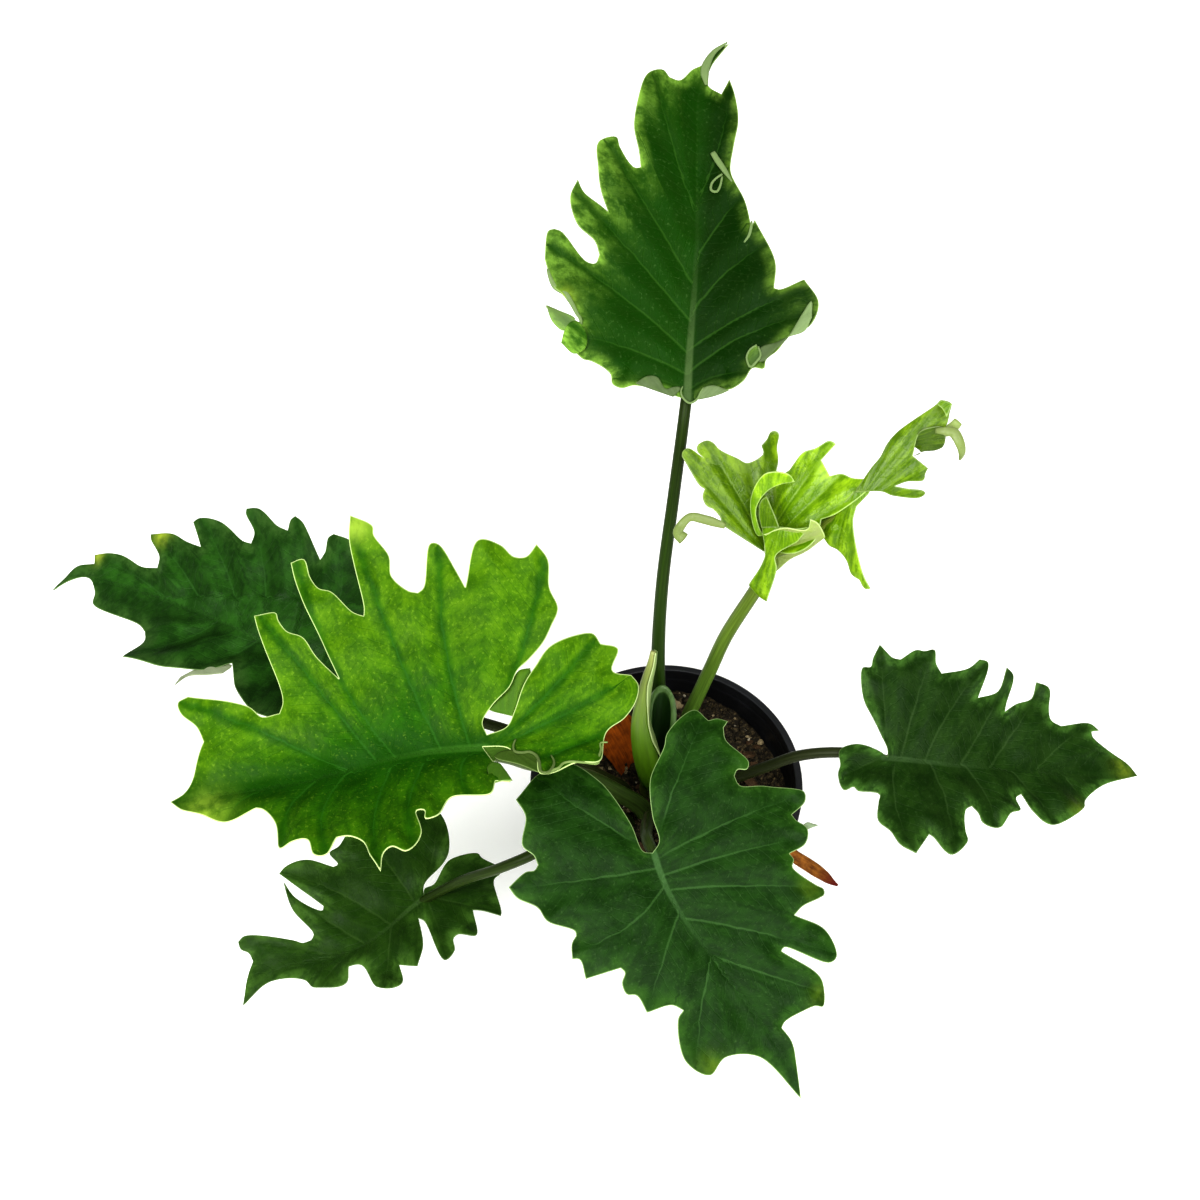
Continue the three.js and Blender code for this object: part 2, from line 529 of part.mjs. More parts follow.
// The points of a leaf's midrib, which its stalk runs on through, and how far they reach.
function midrib(leaf) {
  if (leaf.rib) {
    const points = leaf.rib.map(vec);
    return { points, length: points[0].distanceTo(points.at(-1)) };
  }
  const frame = bladeFrame(leaf);
  const length = Math.max(...leaf.margin.flat().map((p) => p[1])) * ribReach;
  const points = [ribStart, 0.5, 1].map((t) => {
    const y = length * t;
    const sink = THREE.MathUtils.lerp(leaf.girth[1], ribEndRadius, t) * ribSink;
    return formBlade(leaf, 0, y).addScaledVector(bladeNormal(leaf, 0, y), -sink).applyMatrix4(frame);
  });
  return { points, length };
}

// A stalk from the soil to the blade, which runs on under the blade as its midrib.
function leafStalk(leaf, spare = 0) {
  const rib = midrib(leaf);
  const points = [...leaf.stalk.map(vec), ...rib.points];
  const free = 1 - rib.length / new THREE.CatmullRomCurve3(points).getLength();
  const radii = Array.from({ length: girthSteps + 1 }, (_, i) => {
    const t = i / girthSteps;
    const [base, top] = leaf.girth;
    if (t < free) return THREE.MathUtils.lerp(base, top, t / free) + spare;
    return THREE.MathUtils.lerp(top, ribEndRadius, (t - free) / (1 - free)) + spare;
  });
  return stalkGeometry(points, radii);
}

// A whole blade, or the sheets and curls of one that is still uncurling.
function bladePieces(leaf) {
  if (!leaf.sheets) return [bladeGeometry(leaf)];
  const mesh = { step: sheetStep, spacing: sheetMesh };
  return [
    ...Object.values(leaf.sheets).map((sheet) => bladeGeometry(sheet, mesh)),
    ...Object.values(leaf.curls).map(({ path, radii }) => stalkGeometry(path, radii, curlMesh)),
  ];
}

// The pot: a turned wall with a rim band, a flat lip, an inner ledge and a floor with drain holes.
function potGeometry() {
  const bandBottom = potHeight - potBandHeight;
  const wallTop = potRimRadius - potBandStep;
  const ledge = potHeight - potLedgeDepth;
  const profile = [
    [0, 0], [potBaseRadius, 0], [wallTop, bandBottom], [potRimRadius, bandBottom],
    [potRimRadius, potHeight - potLipBevel], [potRimRadius - potLipBevel, potHeight],
    [potRimRadius - potLip, potHeight], [potRimRadius - potLip, ledge],
    [wallTop - potWall, ledge - potLedgeSlope], [wallTop - potWall, bandBottom],
    [potBaseRadius - potWall, potFloor], [0, potFloor],
  ];
  const wall = new THREE.LatheGeometry(profile.map(([r, z]) => new THREE.Vector2(r, z)), potSides);
  wall.rotateX(Math.PI / 2);
  let solid = toSolid(wall);
  for (let i = 0; i < drainHoleCount; i++) {
    const a = (i / drainHoleCount) * 2 * Math.PI;
    const hole = new THREE.CylinderGeometry(drainHoleRadius, drainHoleRadius, potFloor * 3, 12);
    hole.rotateX(Math.PI / 2);
    hole.translate(drainHoleRing * Math.cos(a), drainHoleRing * Math.sin(a), 0);
    solid = solid.subtract(toSolid(hole));
  }
  return toGeometry(solid);
}

// The pot's inner radius at a height.
function potInside(z) {
  const bandBottom = potHeight - potBandHeight;
  const top = potRimRadius - potBandStep - potWall;
  const share = THREE.MathUtils.clamp((z - potFloor) / (bandBottom - potFloor), 0, 1);
  return THREE.MathUtils.lerp(potBaseRadius - potWall, top, share);
}

// The soil: a plug that fills the pot, with a lumpy top and a plain hole for each stalk.
function soilGeometry(stalks) {
  const random = makeRandom(21);
  const lumps = Array.from({ length: soilLumps }, () => {
    const a = random() * 2 * Math.PI;
    const r = Math.sqrt(random()) * soilLumpSpread;
    const size = THREE.MathUtils.lerp(...soilLumpSizes, random());
    return { x: r * Math.cos(a), y: r * Math.sin(a), size, height: soilLumpHeight * (1 + random()) / 2 };
  });
  const surface = (x, y) => {
    const bumps = lumps.reduce((sum, l) => {
      const d = Math.hypot(x - l.x, y - l.y) / l.size;
      return d < 1 ? sum + l.height * (1 - d * d) ** 2 : sum;
    }, 0);
    const dip = soilDip * smoothstep(x, ...soilDipSpan);
    return soilTop - soilSettle - dip + Math.min(bumps, soilLumpHeight);
  };
  const positions = [];
  const faces = [];
  const addRing = (radius, height) => {
    for (let j = 0; j < soilSides; j++) {
      const a = (j / soilSides) * 2 * Math.PI;
      const [x, y] = [radius * Math.cos(a), radius * Math.sin(a)];
      positions.push(x, y, height === undefined ? surface(x, y) : height);
    }
  };
  const floor = potFloor + fitGap;
  const sideAt = (z) => (potInside(z) - fitGap) * Math.cos(Math.PI / potSides);
  addRing(sideAt(floor), floor);
  const brink = soilTop - soilDip - soilSettle;
  for (let i = soilRings; i >= 1; i--) addRing((sideAt(brink) * i) / soilRings);
  const bottom = positions.length / 3;
  positions.push(0, 0, floor, 0, 0, surface(0, 0));
  const rings = soilRings + 1;
  for (let i = 0; i < rings; i++) {
    for (let j = 0; j < soilSides; j++) {
      const k = (j + 1) % soilSides;
      const [a, b] = [i * soilSides + j, i * soilSides + k];
      if (i < rings - 1) faces.push(a, b, b + soilSides, a, b + soilSides, a + soilSides);
      else faces.push(a, b, bottom + 1);
      if (i === 0) faces.push(b, a, bottom);
    }
  }
  const plug = toSolid(meshFrom(positions, faces));
  return toGeometry(stalks.map(toSolid).reduce((rest, hole) => rest.subtract(hole), plug));
}

// The crown: the short stem, the rolled new leaf that grows from it and the open sheath behind it.
const crownStem = [[-5, 3, 64], [-5, 3, 74], [-5, 3, 86]];
const crownRadii = [6, 6, 4.5];
const spearPath = [[-5.5, 2, 83], [-8, 0, 95], [-9, 3, 110], [-9, 7, 125], [-8, 11, 140], [-7, 14, 152]];
const spearRadii = [3.4, 4.8, 4.6, 3.2, 2.2, 0.4];
const spearFlat = 0.8;
const crownMesh = { step: 6.5, sides: 10 };
const hoodAxis = [[-3, 7, 84], [-2, 9, 100], [-1, 13, 126]];
const hoodRadius = 5;
const hoodWall = 1;
const hoodTurn = [-20, 200]; // from the right side round the back to the left side, in degrees
const hoodShoulder = 0.45; // height of its two side edges, as a part of its full height
const hoodSpring = 0.6; // how steeply the arch rises from them: smaller is steeper
const [hoodRows, hoodColumns] = [6, 10];

// A trough: part of a thin round wall along an axis, with its top cut to a round arch.
function hoodGeometry() {
  const curve = new THREE.CatmullRomCurve3(hoodAxis.map(vec));
  const [rows, columns] = [hoodRows, hoodColumns];
  const positions = [];
  const faces = [];
  const at = (side, i, j) => (side * (rows + 1) + i) * (columns + 1) + j;
  for (const radius of [hoodRadius, hoodRadius - hoodWall]) {
    for (let i = 0; i <= rows; i++) {
      for (let j = 0; j <= columns; j++) {
        const s = j / columns;
        const reach = THREE.MathUtils.lerp(hoodShoulder, 1, Math.sin(Math.PI * s) ** hoodSpring);
        const centre = curve.getPoint((i / rows) * reach);
        const a = rad(THREE.MathUtils.lerp(hoodTurn[0], hoodTurn[1], s));
        positions.push(centre.x + radius * Math.cos(a), centre.y + radius * Math.sin(a), centre.z);
      }
    }
  }
  const quad = (a, b, c, d) => faces.push(a, b, c, a, c, d);
  for (let i = 0; i < rows; i++) {
    for (let j = 0; j < columns; j++) {
      quad(at(0, i, j), at(0, i, j + 1), at(0, i + 1, j + 1), at(0, i + 1, j));
      quad(at(1, i, j + 1), at(1, i, j), at(1, i + 1, j), at(1, i + 1, j + 1));
    }
    quad(at(1, i, 0), at(0, i, 0), at(0, i + 1, 0), at(1, i + 1, 0));
    quad(at(0, i, columns), at(1, i, columns), at(1, i + 1, columns), at(0, i + 1, columns));
  }
  for (let j = 0; j < columns; j++) {
    quad(at(1, 0, j), at(1, 0, j + 1), at(0, 0, j + 1), at(0, 0, j));
    quad(at(0, rows, j), at(0, rows, j + 1), at(1, rows, j + 1), at(1, rows, j));
  }
  return meshFrom(positions, faces);
}

// The dry sheath behind the new leaf: a thin pointed scale that stands in the soil.
const drySheath = {
  joint: [-14, 9, 74], heading: 130, pitch: 62, roll: 0, foldLeft: 20, foldRight: 20, droop: 60, arch: 0,
  margin: [[[-3.5, 0], [-5.5, 8], [-8, 14]], [[-9, 20], [-3, 24]], [[1, 31], [5, 22], [6, 12], [4, 0]]],
};
const drySocket = { ...drySheath, margin: [[[-5, -2]], [[-8, 11]], [[8, 11]], [[6, -2]]] };
const drySocketWidth = 2.4;

// The dry sheath that hangs over the rim on the right.
const strapPath = [
  [25, -13, 72], [29, -18, 86], [37, -27, 97], [46, -33, 98.5], [56, -37, 93], [64, -41, 84],
];
const strapRadii = [2.6, 3, 3.2, 3.4, 3, 0.8];
const strapFlat = 0.35;

const group = new THREE.Group();

function addPiece(name, geometry, color, roughness) {
  const material = new THREE.MeshStandardMaterial({ color, roughness, metalness: 0 });
  const mesh = new THREE.Mesh(geometry, material);
  mesh.name = name;
  group.add(mesh);
}

function strapGeometry(spare = 0) {
  const radii = strapRadii.map((r) => r + spare);
  return stalkGeometry(strapPath, radii, { flat: strapFlat + spare / Math.max(...strapRadii) });
}

function stubGeometry(spare = 0) {
  return stalkGeometry(crownStem, crownRadii.map((r) => r + spare), crownMesh);
}

const spear = stalkGeometry(spearPath, spearRadii, { ...crownMesh, flat: spearFlat });
const soilHoles = [
  stubGeometry(fitGap),
  strapGeometry(fitGap),
  bladeGeometry(drySocket, { thickness: drySocketWidth }),
  ...Object.values(leaves).map((leaf) => leafStalk(leaf, fitGap)),
];

addPiece("pot", potGeometry(), "#26272a", 0.55);
addPiece("soil", soilGeometry(soilHoles), "#3a2c22", 0.95);
addPiece("crown", joined(stubGeometry(), spear, hoodGeometry()), "#6f9a3c", 0.5);
addPiece("dry_sheath", bladeGeometry(drySheath), "#8a4a1c", 0.8);
addPiece("dry_strap", strapGeometry(), "#6b3f2c", 0.8);

for (const [name, leaf] of Object.entries(leaves)) {
  addPiece(name, joined(...bladePieces(leaf), leafStalk(leaf)), leaf.colour, 0.4);
}

export default group;
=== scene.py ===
import math
import random

import bpy
import numpy as np
from mathutils import Euler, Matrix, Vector
from mathutils.geometry import delaunay_2d_cdt
from mathutils.noise import noise, fractal


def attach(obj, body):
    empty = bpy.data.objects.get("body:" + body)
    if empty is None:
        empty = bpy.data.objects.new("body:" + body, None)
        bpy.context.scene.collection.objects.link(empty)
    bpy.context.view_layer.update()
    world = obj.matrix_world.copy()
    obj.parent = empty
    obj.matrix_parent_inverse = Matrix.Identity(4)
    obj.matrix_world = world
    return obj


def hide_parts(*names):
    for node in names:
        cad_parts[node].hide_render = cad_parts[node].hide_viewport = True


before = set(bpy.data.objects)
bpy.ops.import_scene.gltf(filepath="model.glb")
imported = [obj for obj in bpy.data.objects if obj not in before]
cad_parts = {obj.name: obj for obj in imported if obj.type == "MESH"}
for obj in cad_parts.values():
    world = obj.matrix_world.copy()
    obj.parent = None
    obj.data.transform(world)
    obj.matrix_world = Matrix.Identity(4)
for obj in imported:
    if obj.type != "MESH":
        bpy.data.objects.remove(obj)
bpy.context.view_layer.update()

mm = 0.001  # shapes are worked out in millimetres and turned to metres where a mesh is made


def fromHex(code):
    # sRGB hex to the linear colour that shaders take
    channels = [int(code[i:i + 2], 16) / 255 for i in (1, 3, 5)]
    return tuple(c / 12.92 if c <= 0.04045 else ((c + 0.055) / 1.055) ** 2.4 for c in channels) + (1.0,)


def setInputs(tree, node, inputs):
    # by name or place: a value is set and a socket is linked
    for name, value in inputs.items():
        if isinstance(value, bpy.types.NodeSocket):
            tree.links.new(value, node.inputs[name])
        else:
            node.inputs[name].default_value = value


def addNode(tree, kind, inputs=(), output=0, **settings):
    node = tree.nodes.new("ShaderNode" + kind)
    for name, value in settings.items():
        setattr(node, name, value)
    setInputs(tree, node, inputs if isinstance(inputs, dict) else dict(enumerate(inputs)))
    return node.outputs[output]


def newMaterial(name):
    material = bpy.data.materials.new(name)
    material.use_nodes = True
    return material, material.node_tree, material.node_tree.nodes["Principled BSDF"]


def addPiece(name, points, faces, material, attributes=None, replaces=None, smooth=True):
    # points in mm; attributes hold one number, or three, for each point
    mesh = bpy.data.meshes.new(name)
    mesh.from_pydata((np.asarray(points) * mm).tolist(), [], [list(map(int, f)) for f in faces])
    for key, values in (attributes or {}).items():
        values = np.asarray(values, dtype=np.float32)
        if values.ndim == 2:
            mesh.attributes.new(key, "FLOAT_VECTOR", "POINT").data.foreach_set("vector", values.ravel())
        else:
            mesh.attributes.new(key, "FLOAT", "POINT").data.foreach_set("value", values)
    mesh.materials.append(material)
    mesh.polygons.foreach_set("use_smooth", [smooth] * len(mesh.polygons))
    mesh.update()
    piece = bpy.data.objects.new(name, mesh)
    bpy.context.scene.collection.objects.link(piece)
    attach(piece, "root")
    if replaces:
        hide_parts(replaces)


def smoothLine(points, step, count=None):
    # a centripetal Catmull-Rom curve through the points, cut into even steps
    points = np.asarray(points, dtype=float)
    ends = np.vstack([2 * points[0] - points[1], points, 2 * points[-1] - points[-2]])
    samples = 24  # on each stretch, before the even cut
    dense = []
    for i in range(len(points) - 1):
        p0, p1, p2, p3 = ends[i:i + 4]
        d0, d1, d2 = (max(np.sum((b - a) ** 2) ** 0.25, 1e-4) for a, b in ((p0, p1), (p1, p2), (p2, p3)))
        t1 = ((p1 - p0) / d0 - (p2 - p0) / (d0 + d1) + (p2 - p1) / d1) * d1
        t2 = ((p2 - p1) / d1 - (p3 - p1) / (d1 + d2) + (p3 - p2) / d2) * d1
        t = np.linspace(0, 1, samples, endpoint=False)[:, None]
        squared, cubed = 3 * (p2 - p1) - 2 * t1 - t2, 2 * (p1 - p2) + t1 + t2
        dense.append(p1 + t1 * t + squared * t ** 2 + cubed * t ** 3)
    dense = np.vstack(dense + [points[-1:]])
    along = np.r_[0, np.cumsum(np.linalg.norm(np.diff(dense, axis=0), axis=1))]
    count = count or max(1, round(along[-1] / step))
    places = np.linspace(0, along[-1], count + 1)
    return np.stack([np.interp(places, along, dense[:, k]) for k in range(points.shape[1])], axis=1)


def rampBetween(value, low, high):
    # 0 below low and 1 above high, with a soft rise between
    t = np.clip((value - low) / (high - low), 0, 1)
    return t * t * (3 - 2 * t)


def between(place, values):
    # a value from an evenly spread row of them, at a place from 0 to 1
    return np.interp(place, np.linspace(0, 1, len(values)), values)


def ringFaces(rows, sides):
    # four-sided faces between rings of points, row by row
    faces = []
    for i in range(rows):
        for j in range(sides):
            k = (j + 1) % sides
            faces.append((i * sides + j, (i + 1) * sides + j, (i + 1) * sides + k, i * sides + k))
    return faces


def distanceToLine(p, line):
    # distance of each flat point to an open line, the place along it, and the side (+1 is on its left)
    best = np.full(len(p), np.inf)
    place = np.zeros(len(p))
    side = np.ones(len(p))
    start = 0.0
    for a, b in zip(line[:-1], line[1:]):
        d = b - a
        length = np.hypot(*d)
        t = np.clip(((p - a) @ d) / length ** 2, 0, 1)
        off = p - a - t[:, None] * d
        gap = np.hypot(off[:, 0], off[:, 1])
        nearer = gap < best - 1e-9
        best = np.where(nearer, gap, best)
        place = np.where(nearer, start + t * length, place)
        cross = d[0] * (p[:, 1] - a[1]) - d[1] * (p[:, 0] - a[0])
        side = np.where(nearer, np.where(cross > 0, 1, -1), side)
        start += length
    return best, place, side


print("camera, floor and light")

view = {
    "place": (-0.02585, -0.30793, 0.65930),  # metres
    "downTilt": 55.3,  # degrees below level
    "fieldOfView": 40.0,  # degrees across the square frame
}
cameraData = bpy.data.cameras.new("camera")
cameraData.angle = math.radians(view["fieldOfView"])
cameraData.clip_start = 0.01
camera = bpy.data.objects.new("camera", cameraData)
camera.location = view["place"]
camera.rotation_euler = (math.radians(90 - view["downTilt"]), 0, 0)
bpy.context.scene.collection.objects.link(camera)
bpy.context.scene.camera = camera

studio = {
    "skyStrength": 0.34,
    "lamps": {  # place in metres, side of the square panel in metres, watts
        "key": ((-1.1, -1.35, 1.7), 1.4, 40.0),
        "front": ((0.9, -1.6, 1.5), 1.6, 32.0),
        "top": ((0.1, -0.35, 2.2), 1.2, 18.0),
    },
    "aim": (0, 0, 0.1),  # where the lamps point
    "floorSize": 8.0, "floorDrop": 0.0005,  # metres: it lies just under the pot, so that they don't flicker
    "floor": "#f6f6f4", "floorGlow": 0.16, "floorRoughness": 0.9,
}
world = bpy.data.worlds.new("studio")
world.use_nodes = True
setInputs(world.node_tree, world.node_tree.nodes["Background"],
          {"Color": (1, 1, 1, 1), "Strength": studio["skyStrength"]})
bpy.context.scene.world = world
bpy.context.scene.view_settings.view_transform = "Standard"
bpy.context.scene.view_settings.look = "High Contrast"

for name, (place, size, power) in studio["lamps"].items():
    light = bpy.data.lights.new(name, "AREA")
    light.size = size
    light.energy = power
    lamp = bpy.data.objects.new(name, light)
    lamp.location = place
    lamp.rotation_euler = (Vector(studio["aim"]) - Vector(place)).to_track_quat("-Z", "Y").to_euler()
    bpy.context.scene.collection.objects.link(lamp)

# matt studio card, lit a little from behind: an even pale floor that takes soft, light shadows
floorMaterial, tree, shader = newMaterial("matt pale studio card")
setInputs(tree, shader, {
    "Base Color": fromHex(studio["floor"]), "Roughness": studio["floorRoughness"],
    "Emission Color": (1, 1, 1, 1), "Emission Strength": studio["floorGlow"],
})
reach = studio["floorSize"] / 2
floorMesh = bpy.data.meshes.new("floor")
floorMesh.from_pydata([(-reach, -reach, 0), (reach, -reach, 0), (reach, reach, 0), (-reach, reach, 0)], [],
                      [(0, 1, 2, 3)])
floorMesh.materials.append(floorMaterial)
floor = bpy.data.objects.new("floor", floorMesh)
floor.location = (0, 0, -studio["floorDrop"])
bpy.context.scene.collection.objects.link(floor)


print("pot")

pot = {
    "height": 92, "rimRadius": 53, "bandHeight": 13, "bandStep": 1.8, "baseRadius": 38, "wall": 1.6,
    "floor": 2.4, "lip": 3, "ledgeDepth": 5.5, "ledgeSlope": 1.2, "sides": 192,
    "centreHole": 8, "discRadius": 8.2, "discHeights": (0.3, 2.1), "discSides": 48,
    "colour": "#1b1c1f", "worn": "#34363b", "roughness": 0.42,
    "grainSize": 0.6, "dustSize": 14,  # mm
}


def roundCorner(a, b, c, radius):
    # a corner of a profile, rounded
    a, b, c = (np.asarray(p, dtype=float) for p in (a, b, c))
    before = b + (a - b) / np.linalg.norm(a - b) * radius
    after = b + (c - b) / np.linalg.norm(c - b) * radius
    t = np.linspace(0, 1, 5)[:, None]
    return (1 - t) ** 2 * before + 2 * t * (1 - t) * b + t ** 2 * after


def turned(profile, sides):
    # a closed profile of (radius, height) turned round the upright axis
    angle = np.arange(sides) / sides * 2 * math.pi
    points = [np.stack([r * np.cos(angle), r * np.sin(angle), np.full(sides, z)], axis=1) for r, z in profile]
    n = len(profile)
    faces = []
    for i in range(n):
        a, b = i * sides, (i + 1) % n * sides
        faces += [(a + j, a + (j + 1) % sides, b + (j + 1) % sides, b + j) for j in range(sides)]
    return np.vstack(points), faces


def potProfile():
    outer = pot["rimRadius"] - pot["bandStep"]
    inner = outer - pot["wall"]
    lip = pot["rimRadius"] - pot["lip"]
    bandBottom = pot["height"] - pot["bandHeight"]
    ledge = pot["height"] - pot["ledgeDepth"]
    corners = [  # (radius, height) of each corner, and how far it is rounded
        ((pot["baseRadius"], 0), 1.2), ((outer, bandBottom), 0.4), ((pot["rimRadius"], bandBottom), 0.5),
        ((pot["rimRadius"], pot["height"]), 0.9), ((lip, pot["height"]), 0.7), ((lip, ledge), 0.5),
        ((inner, ledge - pot["ledgeSlope"]), 0.5), ((inner, bandBottom), 0.8),
        ((pot["baseRadius"] - pot["wall"], pot["floor"]), 1.5), ((pot["centreHole"], pot["floor"]), 0.3),
        ((pot["centreHole"], 0), 0.3),
    ]
    line = []
    for i, (corner, radius) in enumerate(corners):
        before, after = corners[i - 1][0], corners[(i + 1) % len(corners)][0]
        line.extend(roundCorner(before, corner, after, radius).tolist())
    return line


# black polypropylene, injection moulded: deep and dark, with a satin gloss and a fine even grain
potMaterial, tree, shader = newMaterial("moulded black polypropylene")
place = addNode(tree, "TexCoord", output="Object")
grain = addNode(tree, "TexNoise", {"Vector": place, "Scale": 1 / (pot["grainSize"] * mm), "Detail": 3.0})
dust = addNode(tree, "TexNoise", {"Vector": place, "Scale": 1 / (pot["dustSize"] * mm), "Detail": 5.0,
                                  "Roughness": 0.65})
worn = addNode(tree, "MapRange", {"Value": dust, "From Min": 0.5, "From Max": 0.8, "To Max": 0.5})
setInputs(tree, shader, {
    "Base Color": addNode(tree, "Mix", {0: worn, 6: fromHex(pot["colour"]), 7: fromHex(pot["worn"])}, 2,
                          data_type="RGBA"),
    "Roughness": addNode(tree, "MapRange", {"Value": dust, "To Min": pot["roughness"] - 0.08,
                                            "To Max": pot["roughness"] + 0.16}),
    "Normal": addNode(tree, "Bump", {"Height": grain, "Strength": 0.25, "Distance": 0.06 * mm}),
})

potPoints, potFaces = turned(potProfile(), pot["sides"])
addPiece("nursery_pot", potPoints, potFaces, potMaterial, replaces="pot")
sides = pot["discSides"]
points = [(pot["discRadius"] * math.cos(a), pot["discRadius"] * math.sin(a), z)
          for z in pot["discHeights"] for a in np.arange(sides) / sides * 2 * math.pi]
faces = [tuple(range(sides))[::-1], tuple(range(sides, 2 * sides))]
faces += [(j, (j + 1) % sides, sides + (j + 1) % sides, sides + j) for j in range(sides)]
addPiece("pot_floor_disc", points, faces, potMaterial, smooth=False)


print("soil")

soil = {
    "top": 79, "dip": 5, "dipFrom": 15, "dipTo": 48, "lump": 1.6, "lumpSize": 9, "seed": 5,
    "edge": 49.2, "rings": 60, "sides": 160, "footRadius": 46, "foot": 55,
    "crumbs": 1500, "crumbSizes": (0.5, 1.9), "chips": 120, "chipSizes": (1.2, 3.4),
    "grains": 70, "grainSizes": (0.5, 1.15), "husks": 210, "huskSizes": (0.5, 1.8),
}
# What each loose thing in the mix is made of: two colours, the size in mm of the pattern between them, how
# that pattern is drawn, and how deep it stands. Peat is dark, damp and rough with brown crumbs, bark is in
# warm brown flakes with a dark grain, perlite is chalky off-white, and coco husk is dry and tan.
soilMakings = {
    "damp peat": {
        "colours": ("#241e11", "#6e6042"), "size": 1.6, "noise": {"Detail": 6.0, "Roughness": 0.7},
        "blend": (0.48, 0.7), "roughness": 0.9, "bump": (0.8, 0.5),
    },
    "shredded pine bark": {
        "colours": ("#2a1f12", "#644c30"), "size": 1.1, "noise": {"Detail": 4.0, "Distortion": 0.6},
        "blend": (0, 1), "roughness": 0.8, "bump": (0.6, 0.3),
    },
    "expanded perlite": {
        "colours": ("#8d8068", "#c9c3b2"), "size": 0.8, "noise": {"Detail": 3.0},
        "blend": (0, 1), "roughness": 0.95, "bump": (0, 0.3),
    },
    "coco husk crumbs": {
        "colours": ("#5f4f34", "#b0a282"), "size": 0.9, "noise": {"Detail": 4.0, "Distortion": 1.0},
        "blend": (0, 1), "roughness": 0.9, "bump": (0.6, 0.3),
    },
}


def soilHeight(x, y):
    rough = fractal(Vector((x / soil["lumpSize"], y / soil["lumpSize"], 3.1)), 0.8, 2.0, 4)
    dip = soil["dip"] * float(rampBetween(x, soil["dipFrom"], soil["dipTo"]))
    return soil["top"] - dip + soil["lump"] * rough


def soilMaterial(name, making):
    material, tree, shader = newMaterial(name)
    place = addNode(tree, "TexCoord", output="Object")
    pattern = addNode(tree, "TexNoise", {"Vector": place, "Scale": 1 / (making["size"] * mm),
                                         **making["noise"]})
    tone = addNode(tree, "MapRange", (pattern, *making["blend"]))
    dark, light = (fromHex(code) for code in making["colours"])
    strength, depth = making["bump"]
    setInputs(tree, shader, {
        "Base Color": addNode(tree, "Mix", {0: tone, 6: dark, 7: light}, 2, data_type="RGBA"),
        "Roughness": making["roughness"],
        "Normal": addNode(tree, "Bump", {"Height": pattern, "Strength": strength, "Distance": depth * mm}),
    })
    return material


peat, bark, grit, husk = (soilMaterial(name, making) for name, making in soilMakings.items())
rings, sides = soil["rings"], soil["sides"]
turns = np.arange(sides) / sides * 2 * math.pi
points = []
for i in range(rings + 1):
    r = soil["edge"] * (i / rings) if i else 0.01
    for a in turns:
        points.append((r * math.cos(a), r * math.sin(a), soilHeight(r * math.cos(a), r * math.sin(a))))
skirt = len(points)
points += [(soil["footRadius"] * math.cos(a), soil["footRadius"] * math.sin(a), soil["foot"]) for a in turns]
faces = ringFaces(rings + 1, sides)  # the last ring of faces goes down to the foot
faces.append(tuple(range(skirt, skirt + sides))[::-1])
addPiece("soil_bed", points, faces, peat, replaces="soil")


def roughStone(level):
    # a small ball of triangles: corners and faces
    golden = (1 + 5 ** 0.5) / 2
    corners = [(-1, golden, 0), (1, golden, 0), (-1, -golden, 0), (1, -golden, 0),
               (0, -1, golden), (0, 1, golden), (0, -1, -golden), (0, 1, -golden),
               (golden, 0, -1), (golden, 0, 1), (-golden, 0, -1), (-golden, 0, 1)]
    sets = [(0, 11, 5), (0, 5, 1), (0, 1, 7), (0, 7, 10), (0, 10, 11), (1, 5, 9), (5, 11, 4),
            (11, 10, 2), (10, 7, 6), (7, 1, 8), (3, 9, 4), (3, 4, 2), (3, 2, 6), (3, 6, 8), (3, 8, 9),
            (4, 9, 5), (2, 4, 11), (6, 2, 10), (8, 6, 7), (9, 8, 1)]
    corners = [Vector(c).normalized() for c in corners]
    for _ in range(level):
        middles, finer = {}, []
        for face in sets:
            mids = []
            for a, b in zip(face, face[1:] + face[:1]):
                key = (min(a, b), max(a, b))
                if key not in middles:
                    middles[key] = len(corners)
                    corners.append(((corners[a] + corners[b]) / 2).normalized())
                mids.append(middles[key])
            a, b, c = face
            ab, bc, ca = mids
            finer += [(a, ab, ca), (b, bc, ab), (c, ca, bc), (ab, bc, ca)]
        sets = finer
    return corners, sets


def scatterBits(name, count, sizes, flat, lift, material, seed, level=1):
    # seeded bits on the soil: each is a rough stone, squeezed, turned and dropped on the surface
    pick = random.Random(seed)
    corners, sets = roughStone(level)
    points, faces = [], []
    for _ in range(count):
        a, r = pick.uniform(0, 2 * math.pi), math.sqrt(pick.random()) * (soil["edge"] - 1.5)
        x, y = r * math.cos(a), r * math.sin(a)
        size = pick.uniform(*sizes)
        turn = Euler([pick.uniform(0, 6.28) if flat > 0.5 else pick.uniform(-0.5, 0.5) for _ in range(2)]
                     + [pick.uniform(0, 6.28)])
        squeeze = Vector((size * pick.uniform(0.8, 1.4), size * pick.uniform(0.55, 1), size * flat))
        shift = pick.uniform(0, 90)
        base = len(points)
        for c in corners:
            wobble = 1 + 0.35 * noise(c * 1.6 + Vector((shift, 0, 0)))
            p = Vector((c.x * squeeze.x, c.y * squeeze.y, c.z * squeeze.z)) * wobble
            p.rotate(turn)
            points.append((x + p.x, y + p.y, soilHeight(x, y) + size * lift + p.z))
        faces += [(base + i, base + j, base + k) for i, j, k in sets]
    addPiece(name, points, faces, material, smooth=False)


